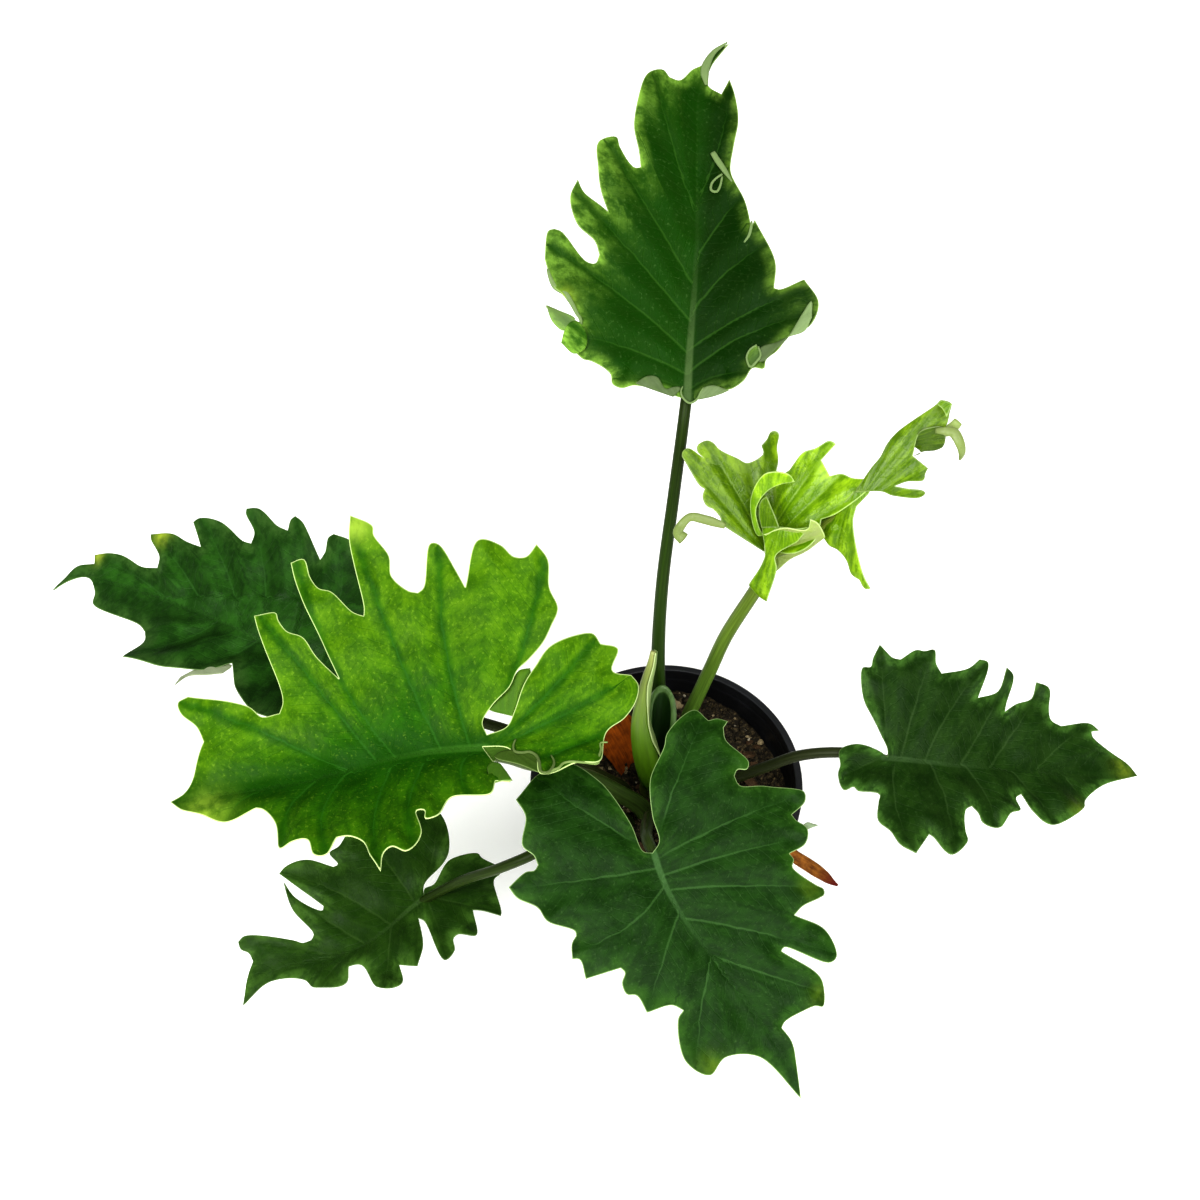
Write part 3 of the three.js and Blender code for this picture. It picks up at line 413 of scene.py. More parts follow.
scatterBits("peat_crumbs", soil["crumbs"], soil["crumbSizes"], 0.8, 0.25, peat, soil["seed"])
scatterBits("bark_chips", soil["chips"], soil["chipSizes"], 0.28, 0.35, bark, soil["seed"] + 1, level=2)
scatterBits("perlite_grains", soil["grains"], soil["grainSizes"], 0.8, 0.7, grit, soil["seed"] + 2)
scatterBits("husk_crumbs", soil["husks"], soil["huskSizes"], 0.45, 0.6, husk, soil["seed"] + 3)


print("leaves")

# Each blade is drawn flat in mm, x across and y from its stalk to its tip, with the margin clockwise from
# the stalk in smooth stretches that meet at sharp points. laterals are the main side veins: where each
# leaves the midrib, where it ends, and how far it bows. spots are yellowed patches: x, y and radius.
# flaps are turned-over bits of margin, drawn in the blade's own frame, and rolls are rolled ones.
blade = {  # for every leaf, in mm
    "edgeStep": 0.8, "spacing": 1.35, "rim": 0.5,  # between points along the margin, inside it and next to it
    "halfThickness": 0.3, "crease": 6, "probe": 0.2,  # crease rounds the fold at the midrib
    "pleatInset": 7, "pleatApart": 14,  # a pleat is full this far from the margin, with veins this far apart
    "rippleLength": 23.4, "rippleReach": 12, "dimpleSize": 11,
    "veinGirth": 0.55,  # half the width of a side vein where it leaves the midrib
    "veinBeyond": 12,  # between veins that aren't there, below the first one
    "fanVeins": 5, "fanBehind": 8, "noRib": (90.0, 1.0, 0.35),  # where a blade has no midrib
    "ribStart": 0.08, "ribReach": 0.5,  # shares of the blade's length, for the thick midrib under it
    "ribEnd": 0.7, "ribSink": 1.5,  # its last radius, and its depth in radii
    "stalkSides": 20, "curlSides": 16,
}
leafCommon = {  # a leaf has these unless it says otherwise
    "foldLeft": 0, "foldRight": 0,  # degrees that each half rises from the midrib
    "droop": 0, "arch": 0,  # radius in mm of the bend along it and across it, or 0 for flat
    "pleat": 0, "ripple": 0.8, "dimple": 0.9,  # relief in mm: between side veins, along the margin, all over
    "pleatShade": 0.06,  # painted shade: how much lighter and darker the two slopes of each pleat are drawn
    "midrib": None, "ribWidth": 1.3, "laterals": [], "spots": [], "flaps": [], "rolls": [],
    "lift": 0, "turned": 0, "shade": 1,  # a flap's height over the blade, share of underside, and lightness
    "rimGap": 0,  # mm by which the pale rim is narrowed
    "ripe": "#8a9a34", "fleck": "#6c8a58", "fleckShare": 0.06,  # pale specks all over
    "rightHalfShade": 1,  # painted shade: lightness of the right half against the left
    "streaks": 0.8, "mottle": 0.3,  # how strongly the greens are streaked, and broken up by specks
    "glowReach": 5, "leastGlow": 0.2, "shadedLeftGlow": 1,  # the lighter margin: mm inward, least share, and the share kept on the left half, lowered there as painted shade
    "outward": 0.5, "outwardFrom": 25, "outwardTo": 65,  # and towards the lobe tips, in mm along a vein
    "veinStrength": 0.4, "midribStrength": 0.7,
    "ribShadow": 2.5, "ribDeep": 0,  # mm beside the midrib without lighter flecks, and share of deep green
    "rimWidth": 0.35, "rimStrength": 0.35,
    "polish": (0.38, 0.54), "gloss": 0.12,  # roughness of the skin, and its specular level
}
leaves = {
    "leaf_tall": {
        "joint": (4, 70, 236), "heading": 84, "pitch": 34, "roll": 4,
        "foldLeft": 16, "foldRight": 19, "droop": 400,
        "stalk": [(-1, 14, 66), (-1, 15, 80), (-2, 18, 95), (-3, 21, 110), (-4, 29, 140), (-3, 40, 170),
            (0, 53, 200), (3, 66, 229)],
        "girth": (3.5, 2.4, 2),
        "margin": [[[-1.5, -1], [-18, 1.5], [-22.5, 0], [-26, 1], [-27, 4], [-33.5, 7.5], [-36.5, 8],
            [-43.5, 15], [-43.5, 17.5]], [[-50.5, 23.5], [-38, 20], [-45.5, 28], [-48, 29.5]],
            [[-50.5, 35]], [[-52, 39], [-52, 48]], [[-50, 49], [-47.5, 48.5], [-38, 40.5], [-35, 40.5]],
            [[-34, 43.5], [-36, 47.5], [-42.5, 52], [-45.5, 61]], [[-43.5, 68], [-41, 63.5]],
            [[-32.5, 58.5], [-37, 71.5], [-37.5, 83], [-32, 85.5], [-30.5, 82], [-24.5, 76.5]],
            [[-22.5, 77], [-26, 92.5], [-23, 112.5], [-17.5, 116]], [[-15, 113.5], [-11.5, 113],
            [-7.5, 118], [-3, 122], [0.5, 128]], [[5, 131], [-0.5, 121.5], [-1.5, 113.5]], [[3.5, 110]],
            [[6, 116], [8.5, 108.5], [10, 97.5], [8.5, 80.5], [14, 69]], [[17, 59]], [[18, 61.5],
            [25.5, 47]], [[26, 37.5], [28, 37]], [[35.5, 40.5], [40.5, 33], [38.5, 25], [32.5, 21.5],
            [28.5, 16.5], [25, 13.5], [24.5, 10.5], [21, 10.5], [18.5, 6], [14, 3], [7.5, 3], [3.5, -1],
            [1, -2.5]]],
        "midrib": [(0, -1), (-0.5, 15), (-1, 50), (-3.5, 87), (-4, 111), (3, 129)],
        "ribWidth": 1.7,
        "laterals": [(2, -23, 3, -2), (7, -40, 15, -2), (14, -50, 43, -2), (25, -43, 62, -1),
            (38, -34, 82, 0), (63, -20, 111, 1), (2, 19, 9, 2), (8, 35, 28, 3), (16, 36, 37, 2),
            (29, 22, 53, 2), (47, 13, 71, 1), (69, 6, 111, -2)],
        "pleat": 0.7, "ripple": 0.7, "spots": [(-46, 26, 4)],
        "deep": "#163c03", "mid": "#1b3c06", "glow": "#76983f", "under": "#6c7c58", "vein": "#3a5c22",
        "midribColour": "#4a5e38", "rim": "#a9c07e", "ripe": "#7f8f2e", "fleck": "#7c9a62",
        "stalkBase": "#2b450c", "stalkTop": "#20290a",
        "fleckShare": 0.12, "rightHalfShade": 0.6, "streaks": 0.7, "outward": 1, "outwardFrom": 26,
        "midribStrength": 0.8, "rimWidth": 0.4, "rimStrength": 0.5, "gloss": 0.07,
        "flaps": [
            {"lift": 0.9, "turned": 1, "shade": 0.72, "margin": [[[-18.5, 2], [-14.5, 5], [-11, 5],
             [-8, 1.5], [-5, 2.5], [-2.5, 2.5]], [[-5, -1], [-12, 0.5]]]},
            {"lift": 0.9, "turned": 1, "margin": [[[5, 3], [8.5, 4], [12.5, 3]], [[14, 2.5], [11, 1],
             [6.5, -0.5], [3.5, -1]]]},
            {"lift": 0.9, "turned": 1, "shade": 1.25, "margin": [[[32, 21], [34, 25], [36, 29], [38.5, 33]],
             [[39, 27.5], [37, 23]]]},
            {"lift": 0.9, "turned": 0.8, "shade": 0.75, "margin": [[[20.5, 13.5], [23.5, 17.5], [28, 19],
             [32, 21]], [[28, 16.5], [24, 12.5]]]},
            {"lift": 0.9, "turned": 0.5, "shade": 1.2, "margin": [[[-50.5, 23.5], [-46.5, 22.5],
             [-40.5, 20.5]], [[-42, 18], [-44, 16], [-48, 18.5]]]},
            {"lift": 1.3, "turned": 0.2, "shade": 1.4, "margin": [[[22, 18], [20, 16.5], [19, 14],
             [19.5, 12]], [[20.5, 10.5], [22, 12], [23.5, 14.5]]]},
            {"lift": 1.1, "shade": 1.35, "margin": [[[-44.5, 12], [-43.5, 17], [-41.5, 19.5], [-38.5, 19],
             [-36, 15], [-36.5, 11], [-40, 9]]]},
        ],
        "rolls": [
            {"radii": (0.6, 1.5, 1.5, 1.1, 0.7, 0.3), "lift": 0.6, "flat": 0.5, "path": [(-2, 113),
             (-3, 118.5), (-2, 123), (0, 127), (2.5, 129.5), (4.5, 131)]},
            {"radii": (1, 1.1, 0.9, 0.3), "lift": 1.2, "flat": 0.5, "path": [(2, 86.5), (4, 83.5),
             (6.5, 80), (9.5, 75.5)]},
            {"radii": (0.4, 0.5, 0.4), "lift": 1, "flat": 0.8, "path": [(6, 78.5), (4, 77), (2.5, 75),
             (2.5, 72.5), (4.5, 72), (5.5, 74), (6, 77.5)]},
            {"radii": (0.3, 0.6, 0.5, 0.3), "lift": 0.8, "flat": 0.6, "path": [(17, 61), (17, 59),
             (16.5, 56), (15, 53.5)]},
            {"radii": (0.35, 0.4, 0.45, 0.35), "lift": 1.4, "flat": 0.8, "path": [(22, 18), (20, 16.5),
             (19, 14), (19.5, 12), (20.5, 10.5), (22, 12), (23.5, 14.5), (22.5, 17.5)]},
            {"radii": (0.25, 0.35, 0.4, 0.35, 0.25), "lift": 1, "flat": 0.8, "path": [(-2, 3), (-2.5, 1),
             (-1.5, -1), (1, -2.5), (3.5, -1), (4.5, 1.5), (5.5, 3)]},
            {"radii": (0.4, 0.8, 1, 0.8, 0.6, 0.5), "lift": 0.4, "flat": 0.5, "path": [(-51, 35.5),
             (-50, 33), (-48, 30), (-44.5, 28.5), (-42, 25.5), (-40, 22.5), (-38.5, 20.5), (-38.5, 18)]},
        ],
    },
    "leaf_front": {
        "joint": (-7, -55, 140), "heading": -57, "pitch": -14, "roll": 4,
        "foldLeft": 8, "foldRight": 8, "droop": 260, "arch": 170,
        "stalk": [(-1, -11, 66), (-2, -13, 84), (-7, -23, 106), (-9, -37, 124), (-9, -48, 135)],
        "girth": (2.7, 2.1),
        "margin": [[[0.5, -0.5], [-3.5, -2.5], [-6.5, -11.5], [-13, -23], [-23.5, -30.5], [-27, -34],
            [-40.5, -37]], [[-42.5, -31], [-45.5, -30]], [[-48, -27]], [[-45, -25.5], [-43, -21],
            [-46, -10.5], [-44, -8.5], [-41, -10]], [[-38.5, -8.5], [-38, -4.5], [-46, 0], [-54, 6],
            [-56.5, 9], [-55, 12]], [[-48.5, 13.5], [-48.5, 16], [-50, 20.5], [-47, 24.5]], [[-40, 24.5],
            [-40, 27], [-38, 29], [-42.5, 38.5], [-44, 41], [-43, 42.8], [-40.5, 42.8], [-34, 42]],
            [[-30, 43], [-37, 53], [-35.5, 62.5], [-32, 63], [-21.5, 50.5]], [[-20, 51], [-27, 66.5],
            [-23, 74.5], [-20, 72.5], [-9, 72]], [[-7, 73], [-7.5, 79]], [[-1, 97.5], [5, 77], [15, 71],
            [22.5, 73], [27.5, 64], [22.5, 51.5]], [[19.5, 50], [22, 46.5]], [[30.5, 44], [30.5, 37.5],
            [33, 35.5], [32.5, 31.5], [30, 29]], [[30.5, 27]], [[42, 24], [40.5, 17.5]], [[42.5, 16],
            [40, 11.5]], [[37.5, 10], [37, 8.5], [43, 1], [43.5, -5], [47.5, -11.5]], [[48, -16],
            [40.5, -17.5], [38, -16.5]], [[36, -17.5], [35.5, -21], [37, -26], [31, -34]], [[30.5, -41.5],
            [19, -45.5], [16, -43.5], [10, -43.5], [6.5, -41.5], [2.5, -32], [1.5, -26], [1.5, -12.5],
            [3, -2.5]]],
        "midrib": [(0, -1), (2.5, 10), (3.3, 22), (1.7, 41), (-0.5, 58), (-2.7, 79), (-1, 97)],
        "ribWidth": 1.4,
        "laterals": [(0, 19, -41, 1), (5, 45, -14, 1), (11, 40, 14, 4), (21, 29, 42, 0), (40, 24, 66, -1),
            (0, -39, -31, 1), (2, -54, 9, 1), (8, -46, 22, 1), (13, -43, 40, 1), (24, -34, 60, 1),
            (40, -25, 70, 0)],
        "pleat": 0.9, "spots": [(20, 71, 5), (-24, 71, 4), (-40, 38, 4)],
        "deep": "#122e05", "mid": "#214111", "glow": "#33561a", "under": "#7d8a70", "vein": "#3a5a2c",
        "midribColour": "#46663a", "rim": "#a5bd84", "ripe": "#4c641c", "stalkBase": "#2f3d17",
        "stalkTop": "#374422",
        "fleckShare": 0.12, "mottle": 0.25, "glowReach": 6, "veinStrength": 0.65, "rimWidth": 0.4,
        "rimStrength": 0.75,
        "flaps": [
            {"lift": -0.8, "turned": 1, "shade": 1.2, "margin": [[[-48, 18], [-50, 18.5], [-52, 18.5],
             [-53.5, 20]], [[-55, 21.5], [-52.5, 21], [-49.5, 20.5], [-47.5, 20]]]},
        ],
    },
    "leaf_right": {
        "joint": (80, -9, 125), "heading": -2, "pitch": 2, "roll": 6,
        "foldLeft": 10, "foldRight": 10, "droop": 260,
        "stalk": [(9, -1, 66), (10, -1, 82), (19, -3, 92), (28, -3, 100), (38, -3, 108), (49, -3, 116),
            (64, -5, 122)],
        "girth": (2.5, 1.9),
        "margin": [[[-0.5, 0.5], [-4, 0.5], [-23, -7.5], [-34.5, -7.5], [-35, -4.5], [-38.5, -3.5]],
            [[-43.5, -1], [-38.5, 3.5]], [[-38, 6.5], [-42, 12.5], [-41.5, 15.5], [-42, 19], [-36.5, 19.5]],
            [[-33, 21.5], [-36, 32]], [[-39.5, 36], [-38.5, 39]], [[-24.5, 35], [-28, 43]], [[-37, 46],
            [-34, 48.5]], [[-20, 45], [-23, 49], [-26.5, 56]], [[-32.5, 57.5], [-30.5, 62.5], [-18.5, 63]],
            [[-16.5, 66.5], [-19.5, 79]], [[-17, 82.5]], [[-16, 79], [-14, 79.5], [-6.5, 94]], [[-2, 98.5],
            [4.5, 82.5], [12, 74], [15.5, 72.5], [23.5, 59], [19, 51.5]], [[12, 49], [13.5, 47], [19, 47.5],
            [21, 43.5], [26.5, 39], [25.5, 32.5], [22.5, 31.5]], [[19, 29.5], [20, 27.5], [29.5, 26],
            [34, 26], [39, 20], [32, 14.5]], [[31, 13]], [[39.5, 7.5], [36, 2.5], [30, -0.5], [25.5, -4.5],
            [18.5, -4], [15.5, -3.5], [14, -11], [12, -12.5], [13, -16], [7, -18], [3, -17], [-3, -17],
            [-5.5, -11], [-3, -3]]],
        "midrib": [(0, -1), (0.5, 8), (2.4, 30), (2.5, 53), (0, 85), (-2, 98)],
        "ribWidth": 1.4,
        "laterals": [(1, -41, -1, 0), (5, -42, 18, 0), (14, -37, 38, 2), (27, -35, 47, -1),
            (38, -31, 60, 0), (56, -18, 77, 1), (1, 7, -15, -1), (3, 37, 7, -3), (16, 37, 21, 2),
            (29, 26, 37, 2), (46, 23, 60, 1), (66, 12, 73, 1)],
        "pleat": 1.2, "pleatShade": 0.1, "spots": [(16, 70, 3.5), (-4, 92, 4)],
        "deep": "#162f07", "mid": "#243d11", "glow": "#4d7132", "under": "#566740", "vein": "#3a502a",
        "midribColour": "#3c5230", "rim": "#8aa468", "ripe": "#6a7a24", "stalkBase": "#2c3219",
        "stalkTop": "#2b311b",
        "fleckShare": 0.08, "outward": 0.45, "midribStrength": 0.6, "rimStrength": 0.4,
    },
    "leaf_low_left": {
        "joint": (-95, -35, 60), "heading": -153, "pitch": -4, "roll": 0,
        "foldLeft": 11, "foldRight": 11, "droop": 240,
        "stalk": [(-14, -13, 66), (-15, -13, 82), (-22, -16, 93), (-31, -23, 99), (-41, -31, 103),
            (-51, -37, 102), (-64, -39, 94), (-79, -37, 79)],
        "girth": (2.4, 1.8),
        "margin": [[[0.5, 0], [3, -1.5], [3, -5.5], [9.5, -15.5], [7, -26.5], [5, -27], [-2.5, -32],
            [-4.5, -31], [-6, -27.5], [-20.5, -24]], [[-22, -23]], [[-15, -14.5], [-26, -11], [-22, -5],
            [-22.5, -3], [-27, -1.5], [-29.5, 3.5], [-9, 4]], [[-7, 5.5], [-20, 8.5]], [[-26.5, 13.5]],
            [[-21.5, 19.5], [-29.5, 21], [-30, 25], [-25.5, 30.5], [-14, 32.5]], [[-12, 37], [-17, 40.5],
            [-12, 52.5], [-6, 55.5], [1, 68.5]], [[-1, 82], [9, 74.5]], [[12, 71], [15.5, 71], [18.5, 73]],
            [[21.5, 72.5], [22, 69], [10.5, 53], [7.5, 50]], [[6.5, 46.5], [8, 44.5], [21.5, 48]],
            [[32.5, 46], [25, 45], [14.5, 37.5]], [[16, 36.5]], [[36.5, 46.5], [37.5, 43], [35.5, 34.5]],
            [[28, 26.5], [28, 24.5], [33.5, 25.5], [34, 21], [37, 15], [35, 1], [34.5, -14], [27.5, -20],
            [12, -16], [4.5, -2]]],
        "midrib": [(0, -1), (-2, 8), (-5.5, 20), (-6, 32), (-2, 48), (3, 64), (-1, 82)],
        "laterals": [(-2, -3, -31, -2), (-1, -20, -22, 0), (-1, -27, 2, 0), (3, -26, 13, 0),
            (16, -27, 27, 0), (34, -13, 50, -1), (0, 25, -18, 0), (4, 37, 12, -1), (16, 35, 44, -2),
            (28, 29, 46, 1), (42, 20, 70, -1)],
        "pleat": 1.2, "pleatShade": 0.1,
        "deep": "#1f390d", "mid": "#2b4613", "glow": "#4a6a2c", "under": "#5d6f3d", "vein": "#41582c",
        "midribColour": "#4c6638", "rim": "#7d9563", "ripe": "#7f8f2e", "stalkBase": "#36441a",
        "stalkTop": "#22330f",
        "glowReach": 6, "midribStrength": 0.5,
    },
    "leaf_bright": {
        "joint": (-66, -28, 166), "heading": -171, "pitch": 2, "roll": -4,
        "foldLeft": 27, "foldRight": 19, "droop": 420,
        "stalk": [(-9, -8, 66), (-9, -8, 82), (-19, -9, 98), (-30, -10, 112), (-41, -14, 126),
            (-51, -21, 142), (-59, -26, 156)],
        "girth": (4.2, 3.2, 2.4, 2.1),
        "margin": [[[0.5, 0], [-7.5, -3.5], [-12.5, -6.5], [-16, -7.5]], [[-16, -2.5], [-22, 0],
            [-19.5, 12.5], [-27.5, 17.5], [-29, 21.5], [-25.5, 21.5], [-25, 24], [-33.5, 23], [-42, 28],
            [-39, 32.5], [-40.5, 35]], [[-48, 36], [-41.5, 39], [-33.5, 41.5], [-31.5, 45]], [[-31.5, 49.5],
            [-36.5, 53], [-35.5, 57], [-30, 59], [-29.5, 64], [-30.5, 68], [-19, 70.5], [-12.5, 75]],
            [[-11, 77.5], [-13, 88], [-8, 97], [-4, 104.5]], [[0.5, 109], [3, 103]], [[18, 94.5],
            [23.5, 96.5], [28.5, 100.5], [32.5, 101]], [[34, 97.5], [26.5, 77.5], [22, 73]], [[22, 67],
            [26, 65.5], [52, 70.5]], [[56, 71], [55.5, 63.5], [53, 63], [48.5, 60.5], [45.5, 55.5],
            [38.5, 52]], [[30, 45.5], [64, 55.5]], [[71, 56], [71.5, 51.5], [65.5, 50.5], [61, 48],
            [59, 44], [51.5, 38]], [[49.5, 34.5], [52.5, 34], [76, 36]], [[84, 34.5], [79, 27.5],
            [76, 27.5], [68.5, 23.5], [61.5, 23.5], [55.5, 18.5]], [[54.5, 15.5], [56, 13.5], [70.5, 9.5],
            [70, 6.5]], [[54.5, -0.5], [70, -6.5], [68, -14], [63.5, -18], [63, -22]], [[67, -26],
            [61.5, -29.5], [52, -29], [44.5, -31], [38.5, -28], [33.5, -24.8], [28.5, -19.5], [25, -15],
            [19.5, -11.5], [14, -4.8], [9, -1]], [[4.5, -2], [6.5, -9], [12, -12.5], [20, -16.5],
            [26, -21.3], [32, -27], [35.5, -42]], [[31.5, -44.5], [29.5, -50.5], [22.5, -48]],
            [[20.5, -54.5], [17, -56.5], [11.5, -55], [6, -50.5], [1.5, -43.5], [-12, -38], [-11, -29.5],
            [-14.5, -17.5], [-6.5, -17], [-4.5, -11.5], [-1, -8]]],
        "midrib": [(0, -1), (1.2, 15), (0.1, 35), (-3, 58), (-2, 80), (0.5, 108)],
        "ribWidth": 1.8,
        "laterals": [(4, -20, 7, -3), (18, -39, 26, -4), (30, -45, 37, -4), (46, -35, 53, -5),
            (56, -29, 67, -5), (73, -12, 88, -3), (-3, 16, -46, -1), (-3, 32, -42, -1), (1, 61, -28, -3),
            (4, 68, 7, 3), (14, 79, 34, 2), (30, 70, 54, 5), (36, 55, 69, 0), (47, 32, 99, -1)],
        "pleat": 1.4, "ripple": 0.9, "dimple": 1, "spots": [(-9, 97, 9), (80, 33, 5)],
        "deep": "#1a4405", "mid": "#2d5f05", "glow": "#587c10", "under": "#5e7736", "vein": "#2d5b18",
        "midribColour": "#3c6522", "rim": "#cfe0a0", "ripe": "#86a03a", "fleck": "#8aa93a",
        "stalkBase": "#4a5f2c", "stalkTop": "#46562a",
        "fleckShare": 0.24, "streaks": 0.6, "mottle": 0.4, "glowReach": 26, "leastGlow": 0.5,
        "shadedLeftGlow": 0.45, "outward": 1, "outwardFrom": 12, "outwardTo": 45, "veinStrength": 0.7,
        "ribShadow": 7, "ribDeep": 0.85, "rimWidth": 0.45, "rimStrength": 0.8, "gloss": 0.08,
        "flaps": [
            {"lift": -1.2, "turned": 0.55, "margin": [[[25.5, -19.5], [25, -15.5], [19.5, -11], [16, -6.5],
             [13.5, -3.5]], [[10, -11.5], [16, -16], [22, -19.5]]]},
            {"lift": -0.8, "turned": 0.7, "shade": 0.8, "margin": [[[3, 0], [3.5, -2.5], [4.5, -5.5],
             [3.5, -9], [1.5, -10.5], [-1, -10.5], [-3, -9]], [[-3, -5], [-5.5, -3], [-1.5, -0.5]]]},
            {"lift": 0.4, "turned": 0.5, "shade": 1.1, "margin": [[[-9, -0.5], [-7, -2], [-7.5, -4.5],
             [-10.5, -6]], [[-16.5, -8], [-16, -5], [-16.5, -1], [-12.5, -0.5]]]},
            {"lift": 0.5, "turned": 1, "shade": 0.6, "margin": [[[-4.5, -3.5], [-3, -5], [-2.5, -8],
             [-2.5, -10], [-4.5, -11], [-4.5, -15.5], [-6.5, -17.5], [-12, -18]], [[-14, -17],
             [-9.5, -11.5], [-5.5, -4]]]},
        ],
        "rolls": [
            {"radii": (0.3, 0.5, 0.5, 0.6, 0.5, 0.5, 0.3), "lift": 0.9, "flat": 0.8, "shade": 0.5,
             "path": [(1.5, -11.5), (-0.5, -10.5), (-3.5, -10.5), (-4.5, -13), (-4.5, -15.5), (-6.5, -17.5),
             (-10, -18), (-14.5, -18), (-15, -20), (-12, -22.5), (-9.5, -23), (-7, -22.5)]},
            {"radii": (0.5, 0.45, 0.4, 0.45, 0.3), "lift": 0.5, "flat": 0.8, "shade": 0.8,
             "path": [(-15, -20), (-13.5, -22.5), (-13, -24), (-11, -26), (-10.5, -28.5), (-11.5, -33),
             (-12.5, -37.5), (-9.5, -38.5), (-6, -40), (-3, -40.5), (-3, -43)]},
        ],
    },
    "leaf_back_left": {
        "joint": (-126, 24, 124), "heading": 158, "pitch": 6, "roll": -4,
        "foldLeft": 33, "foldRight": 16, "droop": 300,
        "stalk": [(-15, 1, 66), (-16, 1, 82), (-26, 3, 90), (-42, 9, 98), (-62, 14, 106), (-91, 18, 115),
            (-112, 21, 121)],
        "girth": (2.5, 1.9),
        "margin": [[[-0.5, 0], [-4, -12], [-14, -20], [-24, -14], [-27, 2], [-28.5, 15], [-24, 26.5]],
            [[-9.5, 39.5], [-20.5, 51], [-23, 67.5]], [[-25, 75], [-12, 77]], [[-7, 81], [-4.5, 86],
            [0, 113], [5, 115], [9.5, 119.5], [10, 126.5]], [[2.5, 137.5], [8.5, 134.5], [14, 129]],
            [[16.5, 122]], [[20, 123.5], [22, 110.5], [19, 97]], [[20, 90.5], [24.5, 92], [30.5, 99]],
            [[32.5, 100], [34.5, 89.5], [33, 82.5]], [[32.5, 76]], [[41, 83], [43, 81], [44, 72], [39, 59]],
            [[39, 55.5], [43.5, 56.5], [49.5, 62.5]], [[51.5, 63], [53, 58.5], [48.5, 48]], [[48, 43.5],
            [52.5, 44.5]], [[54.5, 43.5], [53, 39.5]], [[41.5, 27], [45, 26.5], [50.5, 27.5]], [[52.5, 26],
            [52, 18], [44, 6], [32, -8], [20, -18], [10, -14], [4, -3]]],
        "midrib": [(0, -1), (3, 25), (6, 45), (8, 65), (9, 90), (10, 112), (3, 137)],
        "laterals": [(2, -26, 2, -1), (18, -23, 22, -2), (36, -17, 49, -1), (56, -23, 74, 0),
            (84, 1, 112, 0), (0, 22, -16, -2), (8, 50, 22, -3), (22, 53, 42, -4), (34, 50, 61, -3),
            (44, 42, 79, -2), (60, 32, 97, -1), (80, 20, 121, -1)],
        "pleat": 2.4, "pleatShade": 0.22, "ripple": 0.6, "dimple": 1, "spots": [(33, 94, 4), (20, 121, 3.5)],
        "deep": "#1a380e", "mid": "#2b5218", "glow": "#43602e", "under": "#a3ac8e", "vein": "#3a612c",
        "midribColour": "#4a6a3c", "rim": "#8aa56c", "stalkBase": "#39411f", "stalkTop": "#373f25",
        "mottle": 0.25, "glowReach": 7, "outward": 0.2, "veinStrength": 0.35, "midribStrength": 0.4,
        "flaps": [
            {"lift": -0.6, "turned": 1, "margin": [[[-29.5, 49]], [[-24.5, 50.5], [-18, 49], [-12, 45.5],
             [-9.5, 39.5]], [[-15, 39.5], [-19, 44], [-22.5, 48.5]]]},
        ],
    },
    "leaf_young": {
        "joint": (31, 30, 200),
        "stalk": [(6, 22, 66), (6, 22, 82), (9, 24, 100), (12, 26, 111), (16, 28, 127), (21, 29, 150),
            (29.5, 29.5, 178), (34, 30, 193)],
        "rib": [(34, 30, 200), (42, 30, 205), (50, 33, 211), (62, 36, 226)],
        "girth": (3, 2.4),
        "ribWidth": 1,
        "pleat": 1.8, "pleatShade": 0.05, "ripple": 0.5, "dimple": 1,
        "deep": "#456604", "mid": "#5f7f06", "glow": "#86a61e", "under": "#7a8450", "vein": "#6d8a28",
        "midribColour": "#6d8641", "rim": "#c4d79a", "fleck": "#b9c96a", "stalkBase": "#48662a",
        "stalkTop": "#5f6c24",
        "fleckShare": 0.1, "streaks": 0.9, "glowReach": 12, "outwardFrom": 12, "veinStrength": 0.7,
        "midribStrength": 0, "rimWidth": 0.5, "polish": (0.2, 0.32), "gloss": 0.26,
    },
}
